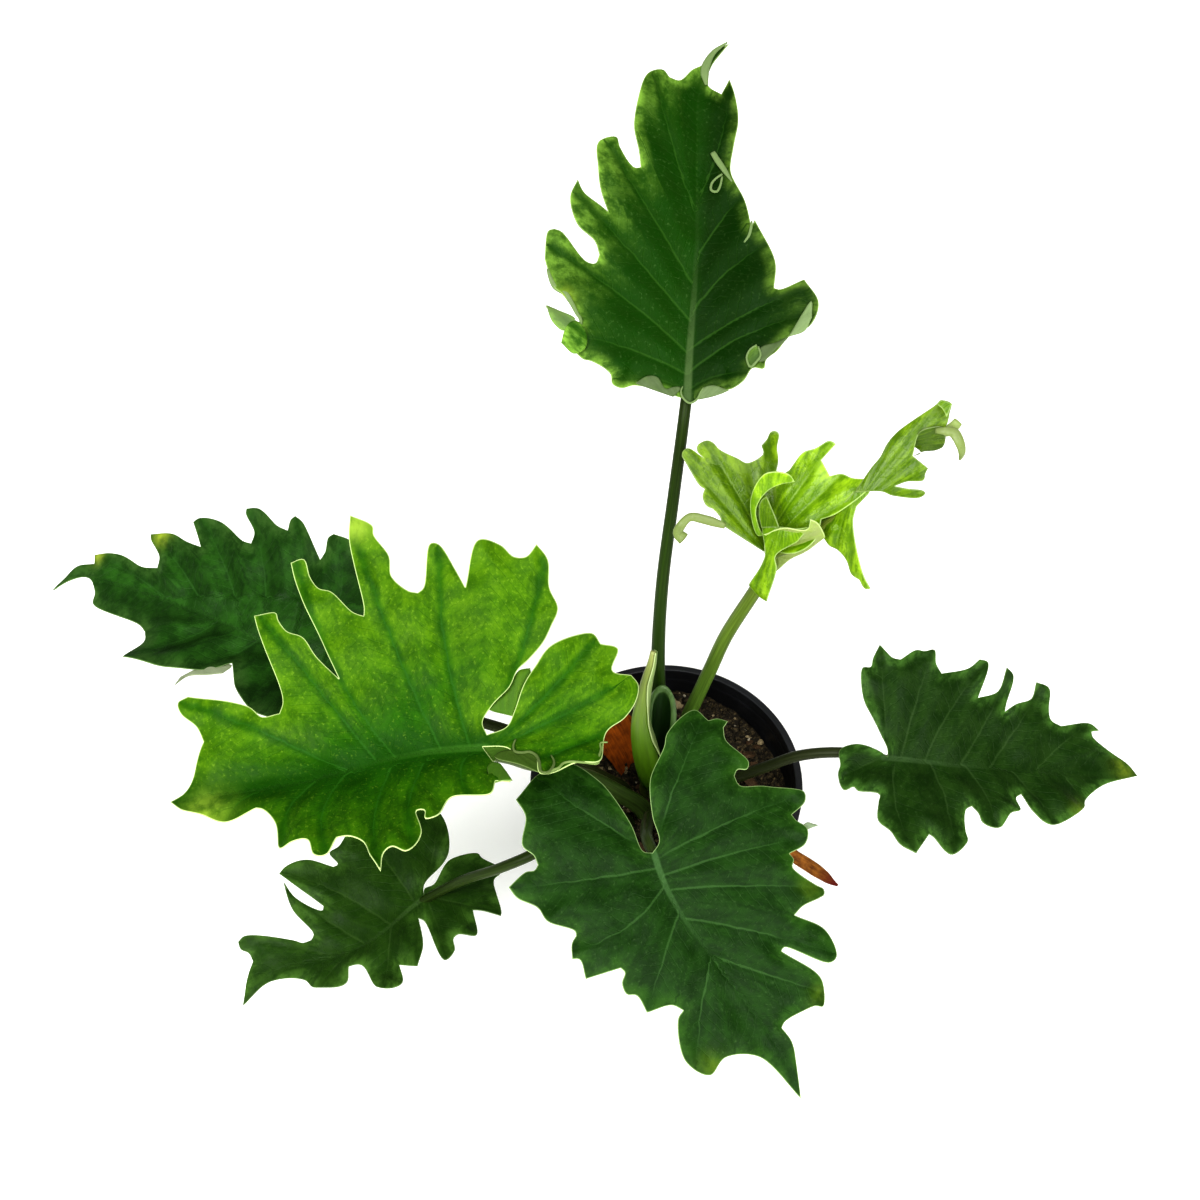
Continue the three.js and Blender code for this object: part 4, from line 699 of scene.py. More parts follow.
youngSheets = {  # each has its own frame and form, and overlaps the next
    "fan": {
        "heading": 146, "pitch": 42, "roll": -19, "droop": 150, "arch": -45, "shade": 0.7,
        "margin": [[[0, 0.5]], [[-5.5, 18], [-4, 20.5]], [[-4, 24], [-5, 26.5], [-4, 29.5]], [[-1.5, 31],
            [-2, 33], [0, 42.5], [0.5, 44.5], [2, 45.5], [4, 45]], [[5.5, 39], [5.5, 42], [7, 43.5],
            [10.5, 42.5], [11.5, 40.5], [11.5, 37.5], [14, 31], [15.5, 27.5], [21.5, 26.5]], [[23, 29],
            [26, 29.5], [28.5, 30.5], [30, 30], [30.5, 28.5], [26.5, 25], [24, 21.5]], [[21, 19], [13, 5],
            [4.5, 0]]],
    },
    "wall": {
        "heading": 10, "pitch": 40, "roll": 16, "arch": -40, "shade": 1.12,
        "margin": [[[-1, 0.5], [-8, 3], [-14.5, 7.5]], [[-20, 18.5]], [[-20, 22.5], [-22.5, 30],
            [-21.5, 34.5]], [[-21.5, 39], [-21, 40.5]], [[-19, 41.5]], [[-17, 34]], [[-11, 33.5],
            [-9.5, 37.5], [-6.5, 40]], [[-4, 43.5]], [[0, 44.5], [1, 38.5], [1.5, 29]], [[0.5, 24], [6, 19],
            [6, 10]]],
    },
    "front": {
        "joint": (36, 30, 215), "heading": -106, "pitch": -52, "roll": 11, "droop": 60, "arch": 24,
        "shade": 1.05,
        "margin": [[[7.5, 2.5], [1.5, 0.5], [-4.5, -0.5]], [[-9, -2]], [[-6, 4], [0.5, 11], [-0.5, 16]],
            [[2, 31], [6, 30]], [[9.5, 27], [5, 15], [4.5, 11]]],
    },
    "keel": {
        "heading": -9, "pitch": 29, "roll": -88, "turned": 1, "shade": 1.3,
        "margin": [[[9.5, 4]], [[0, 0]], [[-11, -0.5], [-6.5, 7], [-4, 13.5]], [[2, 23.5], [4.5, 24],
            [9.5, 24]], [[12.5, 22.5], [8.5, 19.5], [11, 13]]],
    },
    "hanging": {
        "joint": (62, 36, 227), "heading": -83, "pitch": -44, "roll": 25, "droop": 110, "arch": 34,
        "margin": [[[1, -1], [-2.5, 0]], [[2.5, 5.5], [4, 10.5], [2.5, 29]], [[0.5, 35], [2.5, 35]],
            [[4, 31.5], [6.5, 29.5], [8, 24.5], [11, 21], [14, 19.5]], [[15.5, 17], [15.5, 13.5],
            [16.5, 9.5], [11, 7]]],
    },
    "distal": {
        "joint": (64, 35, 228), "heading": 36, "pitch": 44, "roll": 20, "droop": 160, "arch": 26,
        "shade": 0.74,
        "margin": [[[-3.5, -3.5], [-4.5, 6.5], [-4.5, 11], [-5.5, 15.5], [-5.5, 21], [-1.5, 36],
            [-1.5, 37.5], [2, 39], [3.5, 36.5], [5.5, 32.5], [5.5, 31], [2, 28], [0.5, 25]], [[3.5, 18]],
            [[10, 18], [10.5, 16], [11.5, 14], [7.5, 10]], [[5.5, 6.5], [9.5, 8.5], [13.5, 11], [15, 11],
            [14.5, 8.5], [7, 3.5], [3.5, 2.5]]],
    },
    "collar": {
        "joint": (30, 30, 201), "heading": 83, "pitch": 71, "roll": -5, "arch": 20, "shade": 1.3,
        "margin": [[[0, 6.5], [-2, 6], [-6, 18.5], [-2.5, 30.5], [1.5, 32.5], [6, 31.5]], [[8.5, 28.5],
            [4.5, 28], [0, 25], [-3.5, 17], [-2, 10]]],
    },
    # painted shade: the inner sheet lies deep in the roll and is drawn darker
    "inner": {
        "joint": (30, 31, 212), "heading": 91, "pitch": 56, "roll": -18, "arch": -20, "shade": 0.7,
        "margin": [[[-1, 0.5], [-2, 5], [-1.5, 10]], [[0.5, 12]], [[5.5, 1.5]]],
    },
    "folded": {
        "joint": (86, 50, 253), "heading": 25, "pitch": 30, "roll": 21,
        "margin": [[[-2, -1], [-2, 1]], [[1, 3]], [[3.5, -1], [0.5, -0.5]]],
    },
    # painted shade: the pocket is a hollow and is drawn darker
    "pocket": {
        "joint": (78, 46, 242), "heading": 0, "pitch": 23, "roll": 79, "shade": 0.55,
        "margin": [[[2.5, -1.5], [-2.5, 3], [-1.5, 10], [6.5, 8], [7.5, 5], [6.5, 1.5]], [[7, -2],
            [6.5, 0.5]]],
    },
}
youngCurls = {  # rolled bits of margin: a line with a radius at each point
    "left": {"radii": (1.0, 1.6, 1.6, 1.4, 1.7, 2.2), "flat": 0.45, "shade": 0.7, "path": [(17, 34, 210),
        (10, 36, 211), (5, 37, 211), (2, 35, 209), (1, 34, 206), (3, 33, 204)]},
    "hook": {"radii": (0.8, 1.5, 1.8, 1.6, 1.2, 0.4), "flat": 0.45, "shade": 0.75, "path": [(84, 45, 247),
        (87, 44, 248), (90, 44, 247), (92, 41, 245), (93, 40, 242), (93, 40, 238)]},
    "bud": {"radii": (1.4, 2.0, 1.6), "flat": 0.5, "path": [(87, 44, 247), (90, 47, 246), (92, 49, 247)]},
}


def marginRing(margin):
    ring = []
    for i, run in enumerate(margin):
        ring.append(smoothLine(run + [margin[(i + 1) % len(margin)][0]], blade["edgeStep"])[:-1])
    return np.vstack(ring)[::-1]


def isInside(points, ring):
    inside = np.zeros(len(points), dtype=bool)
    for (xj, yj), (xi, yi) in zip(np.roll(ring, 1, axis=0), ring):
        if yi == yj:
            continue
        crosses = (points[:, 1] < yi) != (points[:, 1] < yj)
        inside ^= crosses & (points[:, 0] < (xj - xi) * (points[:, 1] - yi) / (yj - yi) + xi)
    return inside


def fillRing(ring):
    # flat triangles inside the ring, with a staggered grid of points and a row along the rim
    closed = np.vstack([ring, ring[:1]])
    along = np.roll(ring, -1, axis=0) - np.roll(ring, 1, axis=0)
    along /= np.maximum(np.hypot(along[:, 0], along[:, 1]), 1e-6)[:, None]
    inset = ring + np.stack([-along[:, 1], along[:, 0]], axis=1) * blade["rim"]
    spacing = blade["spacing"]
    rise = spacing * math.sqrt(3) / 2
    low, high = ring.min(axis=0), ring.max(axis=0)
    grid = np.array([(x + (row % 2) * spacing / 2, y)
                     for row, y in enumerate(np.arange(low[1], high[1], rise))
                     for x in np.arange(low[0], high[0], spacing)])
    grid = grid[isInside(grid, ring)]
    grid = grid[distanceToLine(grid, closed)[0] > spacing * 0.75]
    inset = inset[isInside(inset, ring)]
    inset = inset[distanceToLine(inset, closed)[0] > blade["rim"] * 0.9]
    points = np.vstack([ring, inset, grid])
    result = delaunay_2d_cdt([Vector(p) for p in points], [], [list(range(len(ring)))], 1, 1e-5)
    return np.array([tuple(v) for v in result[0]]), np.array([f for f in result[2]])


def formBlade(leaf, p):
    # where flat points lie once the blade is folded and curved, in the blade's own frame
    x, y = p[:, 0].copy(), p[:, 1].copy()
    fold = np.tan(np.radians(np.where(x > 0, leaf["foldRight"], leaf["foldLeft"])))
    z = fold * (np.hypot(x, blade["crease"]) - blade["crease"])
    if leaf["arch"]:
        a = x / leaf["arch"]
        x, z = (leaf["arch"] + z) * np.sin(a), (leaf["arch"] + z) * np.cos(a) - leaf["arch"]
    if leaf["droop"]:
        a = y / leaf["droop"]
        y, z = (leaf["droop"] + z) * np.sin(a), (leaf["droop"] + z) * np.cos(a) - leaf["droop"]
    return np.stack([x, y, z], axis=1)


def bladeNormals(leaf, p):
    d = blade["probe"]
    across = formBlade(leaf, p + (d, 0)) - formBlade(leaf, p - (d, 0))
    along = formBlade(leaf, p + (0, d)) - formBlade(leaf, p - (0, d))
    normal = np.cross(across, along)
    return normal / np.linalg.norm(normal, axis=1)[:, None]


def intoPlace(leaf, q):
    # from the blade's own frame to the plant's
    h, e, r = (math.radians(leaf[key]) for key in ("heading", "pitch", "roll"))
    along = np.array([math.cos(e) * math.cos(h), math.cos(e) * math.sin(h), math.sin(e)])
    level = np.array([math.sin(h), -math.cos(h), 0])
    across = level * math.cos(r) + np.cross(along, level) * math.sin(r)
    up = np.cross(across, along)
    return np.asarray(leaf["joint"]) + q[:, :1] * across + q[:, 1:2] * along + q[:, 2:] * up


def bowedLine(start, end, bow):
    start, end = np.asarray(start, dtype=float), np.asarray(end, dtype=float)
    d = end - start
    side = np.array([-d[1], d[0]]) / np.hypot(*d)
    t = np.linspace(0, 1, 14)[:, None]
    return start + t * d + 4 * t * (1 - t) * bow * side


def veinMap(leaf, p):
    # for each flat point: its place between the side veins (whole numbers lie on one), its distance out along
    # them and their distance apart in mm, and its distance from the midrib with the widths of both in mm
    if not leaf["midrib"]:  # the veins fan out from just behind the stalk
        away = np.hypot(p[:, 0], p[:, 1] + blade["fanBehind"])
        turn = np.arctan2(p[:, 0], p[:, 1] + blade["fanBehind"]) * blade["fanVeins"]
        return turn, away, away / blade["fanVeins"], *(np.full(len(p), value) for value in blade["noRib"])
    midrib = smoothLine(leaf["midrib"], 3)
    ribGap, place, _ = distanceToLine(p, midrib)
    ribGirth = leaf["ribWidth"] * np.clip(1 - place / midrib[-1, 1], 0.35, 1) ** 1.2
    ribX = np.interp(p[:, 1], midrib[:, 1], midrib[:, 0])
    turn, out, apart, girth = np.zeros(len(p)), np.zeros(len(p)), np.ones(len(p)), np.ones(len(p))
    sides = {-1: [], 1: []}
    for y0, x1, y1, bow in leaf["laterals"]:
        start = (np.interp(y0, midrib[:, 1], midrib[:, 0]), y0)
        sides[1 if x1 > 0 else -1].append(bowedLine(start, (x1, y1), bow))
    closest = {sign: np.min([distanceToLine(p, line)[0] for line in lines], axis=0)
               for sign, lines in sides.items()}
    pick = np.arange(len(p))
    for sign, lines in sides.items():
        lines.sort(key=lambda line: math.atan2(line[-1][1] - 5, abs(line[-1][0])))
        lines.append(midrib)
        measured = [distanceToLine(p, line) for line in lines]
        gaps = np.array([gap for gap, _, _ in measured])
        places = np.array([along for _, along, _ in measured])
        lengths = np.array([np.sum(np.hypot(*np.diff(line, axis=0).T)) for line in lines])
        # veins that the point lies beyond, counted from the stalk round to the tip
        count = sum(side * sign > 0 for _, _, side in measured[:-1])
        low, high = np.clip(count - 1, 0, len(lines) - 1), np.clip(count, 0, len(lines) - 1)
        near, far = gaps[low, pick], gaps[high, pick]
        closer = np.where(near < far, low, high)
        own = np.where(p[:, 1] > 0, (p[:, 0] - ribX) * sign > 0, closest[sign] < closest[-sign])
        passed = low + near / np.maximum(near + far, 1e-6)
        turn = np.where(own, np.where(count > 0, passed, -gaps[0] / blade["veinBeyond"]), turn)
        apart = np.where(own, np.where(count > 0, near + far, blade["veinBeyond"]), apart)
        out = np.where(own, places[closer, pick], out)
        thinned = np.clip(1 - out / lengths[closer], 0.1, 1) ** 0.5
        girth = np.where(own, blade["veinGirth"] * thinned, girth)
    return turn, out, apart, ribGap, ribGirth, girth


def bladeMesh(leaf):
    ring = marginRing(leaf["margin"])
    p, triangles = fillRing(ring)
    edge, edgePlace, _ = distanceToLine(p, np.vstack([ring, ring[:1]]))
    turn, out, apart, rib, ribGirth, girth = veinMap(leaf, p)
    inner = rampBetween(edge, 0, blade["pleatInset"])
    swell = 0.5 - 0.5 * np.cos(2 * math.pi * turn)
    room = rampBetween(rib, 1, 9) * np.clip(apart / blade["pleatApart"], 0.3, 1)
    pleat = leaf["pleat"] * swell * inner * room
    wave = np.sin(edgePlace * 2 * math.pi / blade["rippleLength"] + np.sin(edgePlace / 23) * 2)
    outer = (1 - rampBetween(edge, 0, blade["rippleReach"])) * rampBetween(np.abs(p[:, 0]), 2, 10)
    ripple = leaf["ripple"] * wave * outer
    size = blade["dimpleSize"]
    dimple = leaf["dimple"] * np.array([noise(Vector((x / size, y / size, 7.7))) for x, y in p]) * inner
    relief = leaf["lift"] + pleat + ripple + dimple - 0.25 * np.exp(-(rib / ribGirth) ** 2)
    base = formBlade(leaf, p)
    normals = bladeNormals(leaf, p)
    half = blade["halfThickness"] * (0.55 + 0.45 * rampBetween(edge, 0, 1.5))
    top = intoPlace(leaf, base + normals * (relief + half)[:, None])
    bottom = intoPlace(leaf, base + normals * (relief - half)[:, None])
    n = len(p)
    edges = dict.fromkeys((i, j) for a, b, c in triangles for i, j in ((a, b), (b, c), (c, a)))
    faces = [tuple(t) for t in triangles] + [(n + a, n + c, n + b) for a, b, c in triangles]
    faces += [(i, n + i, n + j, j) for i, j in edges if (j, i) not in edges]
    spot = np.zeros(n)
    for x, y, r in leaf["spots"]:
        spot = np.maximum(spot, np.exp(-((p[:, 0] - x) ** 2 + (p[:, 1] - y) ** 2) / r ** 2))
    marks = {
        "edge": edge + leaf["rimGap"], "spot": spot, "half": rampBetween(p[:, 0], -3, 3),
        # painted shade: the sheet's lightness, with the two slopes of each pleat drawn lighter and darker
        "shade": leaf["shade"] * (1 + leaf["pleatShade"] * np.sin(2 * math.pi * turn) * inner),
        "flat": np.stack([p[:, 0], p[:, 1], np.zeros(n)], axis=1),
        "flow": np.stack([turn, out, apart], axis=1), "ribs": np.stack([rib, ribGirth, girth], axis=1),
    }
    attributes = {key: np.concatenate([values, values]) for key, values in marks.items()}
    attributes["under"] = np.r_[np.full(n, leaf["turned"]), np.ones(n)]
    return np.vstack([top, bottom]), faces, attributes


def leafMaterial(name, look):
    # living leaf under a waxy skin: satin gloss, pale thin veins, flecks between them and a fine pale rim
    material, tree, shader = newMaterial(name)
    eased = {"interpolation_type": "SMOOTHSTEP"}
    times = {"operation": "MULTIPLY"}
    timesPlus = {"operation": "MULTIPLY_ADD"}
    edge, spot, under, half, shade = (addNode(tree, "Attribute", output="Fac", attribute_name=key)
                                      for key in ("edge", "spot", "under", "half", "shade"))
    flat, flow, ribs = (addNode(tree, "Attribute", output="Vector", attribute_name=key)
                        for key in ("flat", "flow", "ribs"))
    turn, out, apart = (addNode(tree, "SeparateXYZ", (flow,), axis) for axis in range(3))
    rib, ribGirth, girth = (addNode(tree, "SeparateXYZ", (ribs,), axis) for axis in range(3))

    # noise patterns: a slow sway, flecks drawn out along the side veins, soft 9 mm patches and 1.4 mm specks
    sway = addNode(tree, "TexNoise", {"Vector": flat, "Scale": 1 / 6, "Detail": 2.0})
    along = addNode(tree, "CombineXYZ", [addNode(tree, "Math", (value, factor), **times)
                                         for value, factor in ((turn, 9.0), (out, 0.28), (apart, 0.02))])
    fleck = addNode(tree, "TexNoise", {"Vector": along, "Scale": 0.55, "Detail": 5.0, "Roughness": 0.65})
    patch = addNode(tree, "TexNoise", {"Vector": flat, "Scale": 1 / 9, "Detail": 4.0, "Roughness": 0.6})
    speck = addNode(tree, "TexNoise", {"Vector": flat, "Scale": 1 / 1.4, "Detail": 3.0, "Roughness": 0.7})

    # distance in mm to the nearest side vein, from a place that sways a little between the veins
    swayed = addNode(tree, "Math", (sway, 0.1, addNode(tree, "Math", (turn, -0.05))), **timesPlus)
    toSide = addNode(tree, "Math", (swayed, 0.5), operation="PINGPONG")
    toSide = addNode(tree, "Math", (toSide, apart), **times)
    sideVein = addNode(tree, "Math", (toSide, girth), operation="DIVIDE")
    sideVein = addNode(tree, "MapRange", (sideVein, 0.3, 1.2, 1.0, 0.0), **eased)
    for fade in ((edge, 0.5, 7.0), (girth, 0.15, 0.45, 0.35, 1.0)):  # it ends short of the margin, and thins
        sideVein = addNode(tree, "Math", (sideVein, addNode(tree, "MapRange", fade, **eased)), **times)
    midrib = addNode(tree, "Math", (rib, ribGirth), operation="DIVIDE")
    midrib = addNode(tree, "MapRange", (midrib, 0.5, 1.15, 1.0, 0.0), **eased)
    thick = addNode(tree, "MapRange", (ribGirth, 0.5 * look["ribWidth"], look["ribWidth"], 0.1, 1.0), **eased)
    midrib = addNode(tree, "Math", (midrib, thick), **times)

    # the finer veins leave a side vein slantwise every 4 mm
    slant = addNode(tree, "Math", (sway, 4.0, out), **timesPlus)
    slant = addNode(tree, "Math", (toSide, -0.8, slant), **timesPlus)
    fine = addNode(tree, "Math", (slant, 2.0), operation="PINGPONG")
    fine = addNode(tree, "MapRange", (fine, 0.05, 0.3, 1.0, 0.0), **eased)
    fine = addNode(tree, "Math", (fine, addNode(tree, "MapRange", (edge, 1.0, 5.0), **eased)), **times)
    besideSide = addNode(tree, "MapRange", (toSide, 0.3, 2.6, 1.0, 0.0), **eased)
    besideRib = addNode(tree, "MapRange", (rib, 1.0, look["ribShadow"], 1.0, 0.0), **eased)
    beside = addNode(tree, "Math", (besideSide, besideRib), operation="MAXIMUM")
    clear = addNode(tree, "Math", (beside, -0.8, 1.0), **timesPlus)

    # lighter green towards the margin and the lobe tips, in flecks, but not beside the veins
    tone = addNode(tree, "Math", (fleck, patch))
    least, most = 0.5 - look["streaks"] / 2, 0.5 + look["streaks"] / 2
    tone = addNode(tree, "MapRange", (tone, 0.8, 1.22, least, most), **eased)
    outward = (out, look["outwardFrom"], look["outwardTo"], 0.0, look["outward"])
    outward = addNode(tree, "MapRange", outward, **eased)
    outward = addNode(tree, "Math", (outward, addNode(tree, "MapRange", (rib, 4.0, 16.0), **eased)), **times)
    near = addNode(tree, "MapRange", (edge, 0.0, look["glowReach"], 1.0, 0.0), **eased)
    near = addNode(tree, "Math", (near, outward), operation="MAXIMUM")
    # painted shade on the left half: only this share of the lighter green is laid there
    leftHalfShading = addNode(tree, "MapRange", (half, 0.0, 1.0, look["shadedLeftGlow"], 1.0), **eased)
    dotted = addNode(tree, "Math", (speck, 0.8, addNode(tree, "Math", (fleck, 1.2), **times)), **timesPlus)
    dotted = addNode(tree, "MapRange", (dotted, 0.8, 1.25), **eased)
    uneven = addNode(tree, "MapRange", (tone, 0.0, 1.0, look["leastGlow"], 0.85), **eased)
    uneven = addNode(tree, "Math", (uneven, 1 - look["mottle"]), **times)
    uneven = addNode(tree, "Math", (dotted, look["mottle"], uneven), **timesPlus)
    glow = near
    for share in (leftHalfShading, uneven, clear):
        glow = addNode(tree, "Math", (glow, share), **times)
    dots = addNode(tree, "MapRange", (speck, 0.56, 0.7, 0.0, look["fleckShare"]), **eased)
    # painted shade over the right half of the blade
    paintedHalfShade = addNode(tree, "MapRange", (half, 0.0, 1.0, 1.0, look["rightHalfShade"]))
    back = addNode(tree, "MapRange", (tone, 0.0, 1.0, 0.9, 0.7), **eased)
    ripe = addNode(tree, "MapRange", (patch, 0.35, 0.6, 0.3, 1.0), **eased)

    # the colours, one over the other, each with its share
    nextToRib = addNode(tree, "MapRange", (rib, 0.0, look["ribShadow"] * 2, look["ribDeep"], 0.0), **eased)
    lip = addNode(tree, "MapRange", (edge, 0.05, look["rimWidth"], look["rimStrength"], 0.0), **eased)
    colour = fromHex(look["deep"])
    layers = [
        (tone, look["mid"]),
        (glow, look["glow"]),
        (nextToRib, look["deep"]),
        (addNode(tree, "Math", (dots, clear), **times), look["fleck"]),
        (addNode(tree, "Math", (spot, ripe), **times), look["ripe"]),
        (1.0, paintedHalfShade),  # painted shade: the right half is drawn darker than the left
        (addNode(tree, "Math", (fine, 0.22 * look["veinStrength"]), **times), look["vein"]),
        (addNode(tree, "Math", (sideVein, look["veinStrength"]), **times), look["vein"]),
        (addNode(tree, "Math", (midrib, look["midribStrength"]), **times), look["midribColour"]),
        (addNode(tree, "Math", (back, under), **times), look["under"]),  # paler and duller below
        (lip, look["rim"]),
        (1.0, shade),
    ]
    for share, over in layers:  # a colour is laid over, and a grey shade is multiplied in
        isColour = isinstance(over, str)
        colour = addNode(tree, "Mix", {0: share, 6: colour, 7: fromHex(over) if isColour else over}, 2,
                         data_type="RGBA", blend_type="MIX" if isColour else "MULTIPLY")

    # skin cells of about 0.9 mm, drawn coarser than real so that they show, and the sunk veins
    cells = addNode(tree, "TexVoronoi", {"Vector": flat, "Scale": 1 / 0.9}, feature="SMOOTH_F1")
    height = addNode(tree, "Math", (cells, 0.3, addNode(tree, "Math", (speck, 0.8), **times)), **timesPlus)
    height = addNode(tree, "Math", (fine, -0.5, height), **timesPlus)
    sunk = addNode(tree, "MapRange", (toSide, 0.0, 1.6, 1.0, 0.0), **eased)
    height = addNode(tree, "Math", (sunk, -0.8, height), **timesPlus)
    setInputs(tree, shader, {
        "Base Color": colour, "Specular IOR Level": look["gloss"],
        "Roughness": addNode(tree, "MapRange", (patch, 0.3, 0.7, *look["polish"]), **eased),
        "Normal": addNode(tree, "Bump", {"Height": height, "Strength": 0.5, "Distance": 0.3 * mm}),
    })
    return material


def tube(path, radii, sides, flat=1.0):
    # a closed round bar along a line, with a radius at each point, flattened on the side facing the camera
    path = np.asarray(path, dtype=float)
    face = np.array((0, -0.6, 0.8))
    ahead = np.gradient(path, axis=0)
    ahead /= np.linalg.norm(ahead, axis=1)[:, None]
    turns = np.arange(sides) / sides * 2 * math.pi
    points = []
    for centre, t, radius in zip(path, ahead, radii):
        side = face - t * (t @ face)
        side /= np.linalg.norm(side)
        other = np.cross(t, side)
        for a in turns:
            points.append(centre + side * (radius * flat * math.cos(a)) + other * (radius * math.sin(a)))
    faces = ringFaces(len(path) - 1, sides)
    last = (len(path) - 1) * sides
    faces += [tuple(range(sides)), tuple(range(last, last + sides))[::-1]]
    around = np.tile(turns, len(path))
    along = np.repeat(np.arange(len(path)) / (len(path) - 1), sides)
    turn = np.stack([np.cos(around) * 6, np.sin(around) * 6, along * 100], axis=1)
    return np.array(points), faces, {"turn": turn, "along": along}


def stalkMaterial(name, base, top):
    # fleshy leaf stalk: smooth and satin, with faint lines along it
    material, tree, shader = newMaterial(name)
    turn = addNode(tree, "Attribute", output="Vector", attribute_name="turn")
    along = addNode(tree, "Attribute", output="Fac", attribute_name="along")
    stretched = addNode(tree, "VectorMath", (turn, (1, 1, 0.08)), operation="MULTIPLY")
    lines = addNode(tree, "TexNoise", {"Vector": stretched, "Scale": 0.9, "Detail": 4.0})
    tone = addNode(tree, "MapRange", (lines, 0.3, 0.7, 0.7, 1.35))
    colour = addNode(tree, "Mix", {0: along, 6: fromHex(base), 7: fromHex(top)}, 2, data_type="RGBA")
    setInputs(tree, shader, {
        "Base Color": addNode(tree, "Mix", {0: 1.0, 6: colour, 7: tone}, 2,
                              data_type="RGBA", blend_type="MULTIPLY"),
        "Roughness": 0.42, "Specular IOR Level": 0.16,
        "Normal": addNode(tree, "Bump", {"Height": lines, "Strength": 0.3, "Distance": 0.2 * mm}),
    })
    return material


def stalkMesh(leaf):
    # the stalk, and the midrib under the blade in which it ends
    girth, top = list(leaf["girth"]), leaf["girth"][-1]
    if "rib" in leaf:
        rib = [np.array(p, dtype=float) for p in leaf["rib"]]
        length = np.linalg.norm(rib[-1] - rib[0])
    else:
        rib = []
        length = max(y for run in leaf["margin"] for _, y in run) * blade["ribReach"]
        for t in (blade["ribStart"], 0.5, 1):
            spot = np.array([[0.0, length * t]])
            sink = (top + (blade["ribEnd"] - top) * t) * blade["ribSink"]
            rib.append(intoPlace(leaf, formBlade(leaf, spot) - bladeNormals(leaf, spot) * sink)[0])
    path = smoothLine(list(leaf["stalk"]) + [tuple(p) for p in rib], 1.5)
    free = 1 - length / np.sum(np.linalg.norm(np.diff(path, axis=0), axis=1))
    radii = np.interp(np.linspace(0, 1, len(path)), list(np.linspace(0, free, len(girth))) + [1],
                      girth + [blade["ribEnd"]])
    return tube(path, radii, blade["stalkSides"])


def curlMesh(curl, leaf):
    # a rolled bit of margin, which shows the underside; lift puts it on a blade, at that height over it
    path = np.asarray(curl["path"], dtype=float)
    if "lift" in curl:
        path = intoPlace(leaf, formBlade(leaf, path) + bladeNormals(leaf, path) * curl["lift"])
    step, sides = blade["edgeStep"], blade["curlSides"]
    line = smoothLine(path, step)
    points, faces, _ = tube(line, between(np.linspace(0, 1, len(line)), curl["radii"]), sides, curl["flat"])
    n = len(points)
    place = np.repeat(np.arange(len(line)) * step, sides)
    flat = np.stack([np.tile(np.arange(sides) * 0.5, len(line)), place, np.full(n, 9.0)], axis=1)
    return points, faces, {
        "edge": np.full(n, 0.3), "spot": np.zeros(n), "under": np.ones(n), "half": np.zeros(n),
        "shade": np.full(n, curl.get("shade", 1.0)), "flat": flat,
        "flow": np.full((n, 3), 9.0), "ribs": np.full((n, 3), 9.0),
    }


def gathered(meshes):
    # several meshes as one
    points, faces, attributes, start = [], [], {}, 0
    for p, f, values in meshes:
        points.append(p)
        faces += [tuple(int(i) + start for i in face) for face in f]
        start += len(p)
        for key, value in values.items():
            attributes.setdefault(key, []).append(value)
    return np.vstack(points), faces, {key: np.concatenate(parts) for key, parts in attributes.items()}


for name, own in leaves.items():
    leaf = {**leafCommon, **own}
    if name == "leaf_young":
        sheets, curls = [{**leaf, **sheet} for sheet in youngSheets.values()], youngCurls.values()
    else:
        plain = {**leaf, "midrib": None, "pleat": 0, "ripple": 0, "dimple": 0, "pleatShade": 0, "rimGap": 0.3}
        sheets, curls = [leaf] + [{**plain, **flap} for flap in leaf["flaps"]], leaf["rolls"]
    points, faces, attributes = gathered([bladeMesh(sheet) for sheet in sheets]
                                         + [curlMesh(curl, leaf) for curl in curls])
    title = name[5:].replace("_", " ")
    addPiece(name + "_blade", points, faces, leafMaterial("waxy leaf, " + title, leaf), attributes,
             replaces=name)
    points, faces, attributes = stalkMesh(leaf)
    stalkSkin = stalkMaterial("fleshy stalk, " + title, leaf["stalkBase"], leaf["stalkTop"])
    addPiece(name + "_stalk", points, faces, stalkSkin, attributes)


print("crown, new leaf and dry sheaths")

crown = {  # points and radii in mm, turns in degrees from the right
    "stem": [(-5, 3, 64), (-5, 3, 74), (-5, 3, 86)], "stemRadii": (6, 6, 4.5), "stemColour": "#4f5a26",
    "spear": [(-4.5, 2, 80), (-6.4, 1, 94), (-7.9, 0.5, 106), (-9.5, 1.2, 118), (-11, 3, 132),
              (-10.3, 6, 142), (-8.8, 9.5, 151), (-7.4, 12, 157), (-6.7, 14, 162)],
    "spearRadii": (3.4, 4.6, 4.9, 4.9, 4.3, 3.2, 2.4, 1.8, 1), "spearFlat": 0.8, "spearSides": 40,
    # the pale margin wraps over the front, from flapStart to its free edge
    "flapStart": -80, "flapEdge": (0, 0, 10, 38, 40, 80, 65), "flapLift": (1.4, 1.2, 0.8, 0.6, 0.6, 0.6, 0.5),
    "flapThickness": 0.35, "flapColumns": 26,
    "hoodAxis": [(-4, 7, 84), (-3, 9, 102), (-2.3, 14, 131)], "hoodRadius": 5.4, "hoodWall": 1.5,
    "hoodTurn": (-20, 200), "hoodShoulder": 0.45, "hoodSpring": 0.45, "hoodLength": 43, "hoodArc": 19,
    "low": "#4a740a", "middle": "#5f8214", "tip": "#80864c", "flap": "#6e8148", "rim": "#b3c38c",
    # the last colour is painted shade, drawn in the hollow of the open sheath
    "hoodRim": "#4f6a38", "inside": "#1d3b0f",
}


def sheathRows(path, step):
    # points along a line with, at each, the way to the right and to the front
    line = smoothLine(path, step)
    ahead = np.gradient(line, axis=0)
    ahead /= np.linalg.norm(ahead, axis=1)[:, None]
    right = np.array((1.0, 0, 0)) - ahead * ahead[:, :1]
    right /= np.linalg.norm(right, axis=1)[:, None]
    return line, right, np.cross(right, ahead)


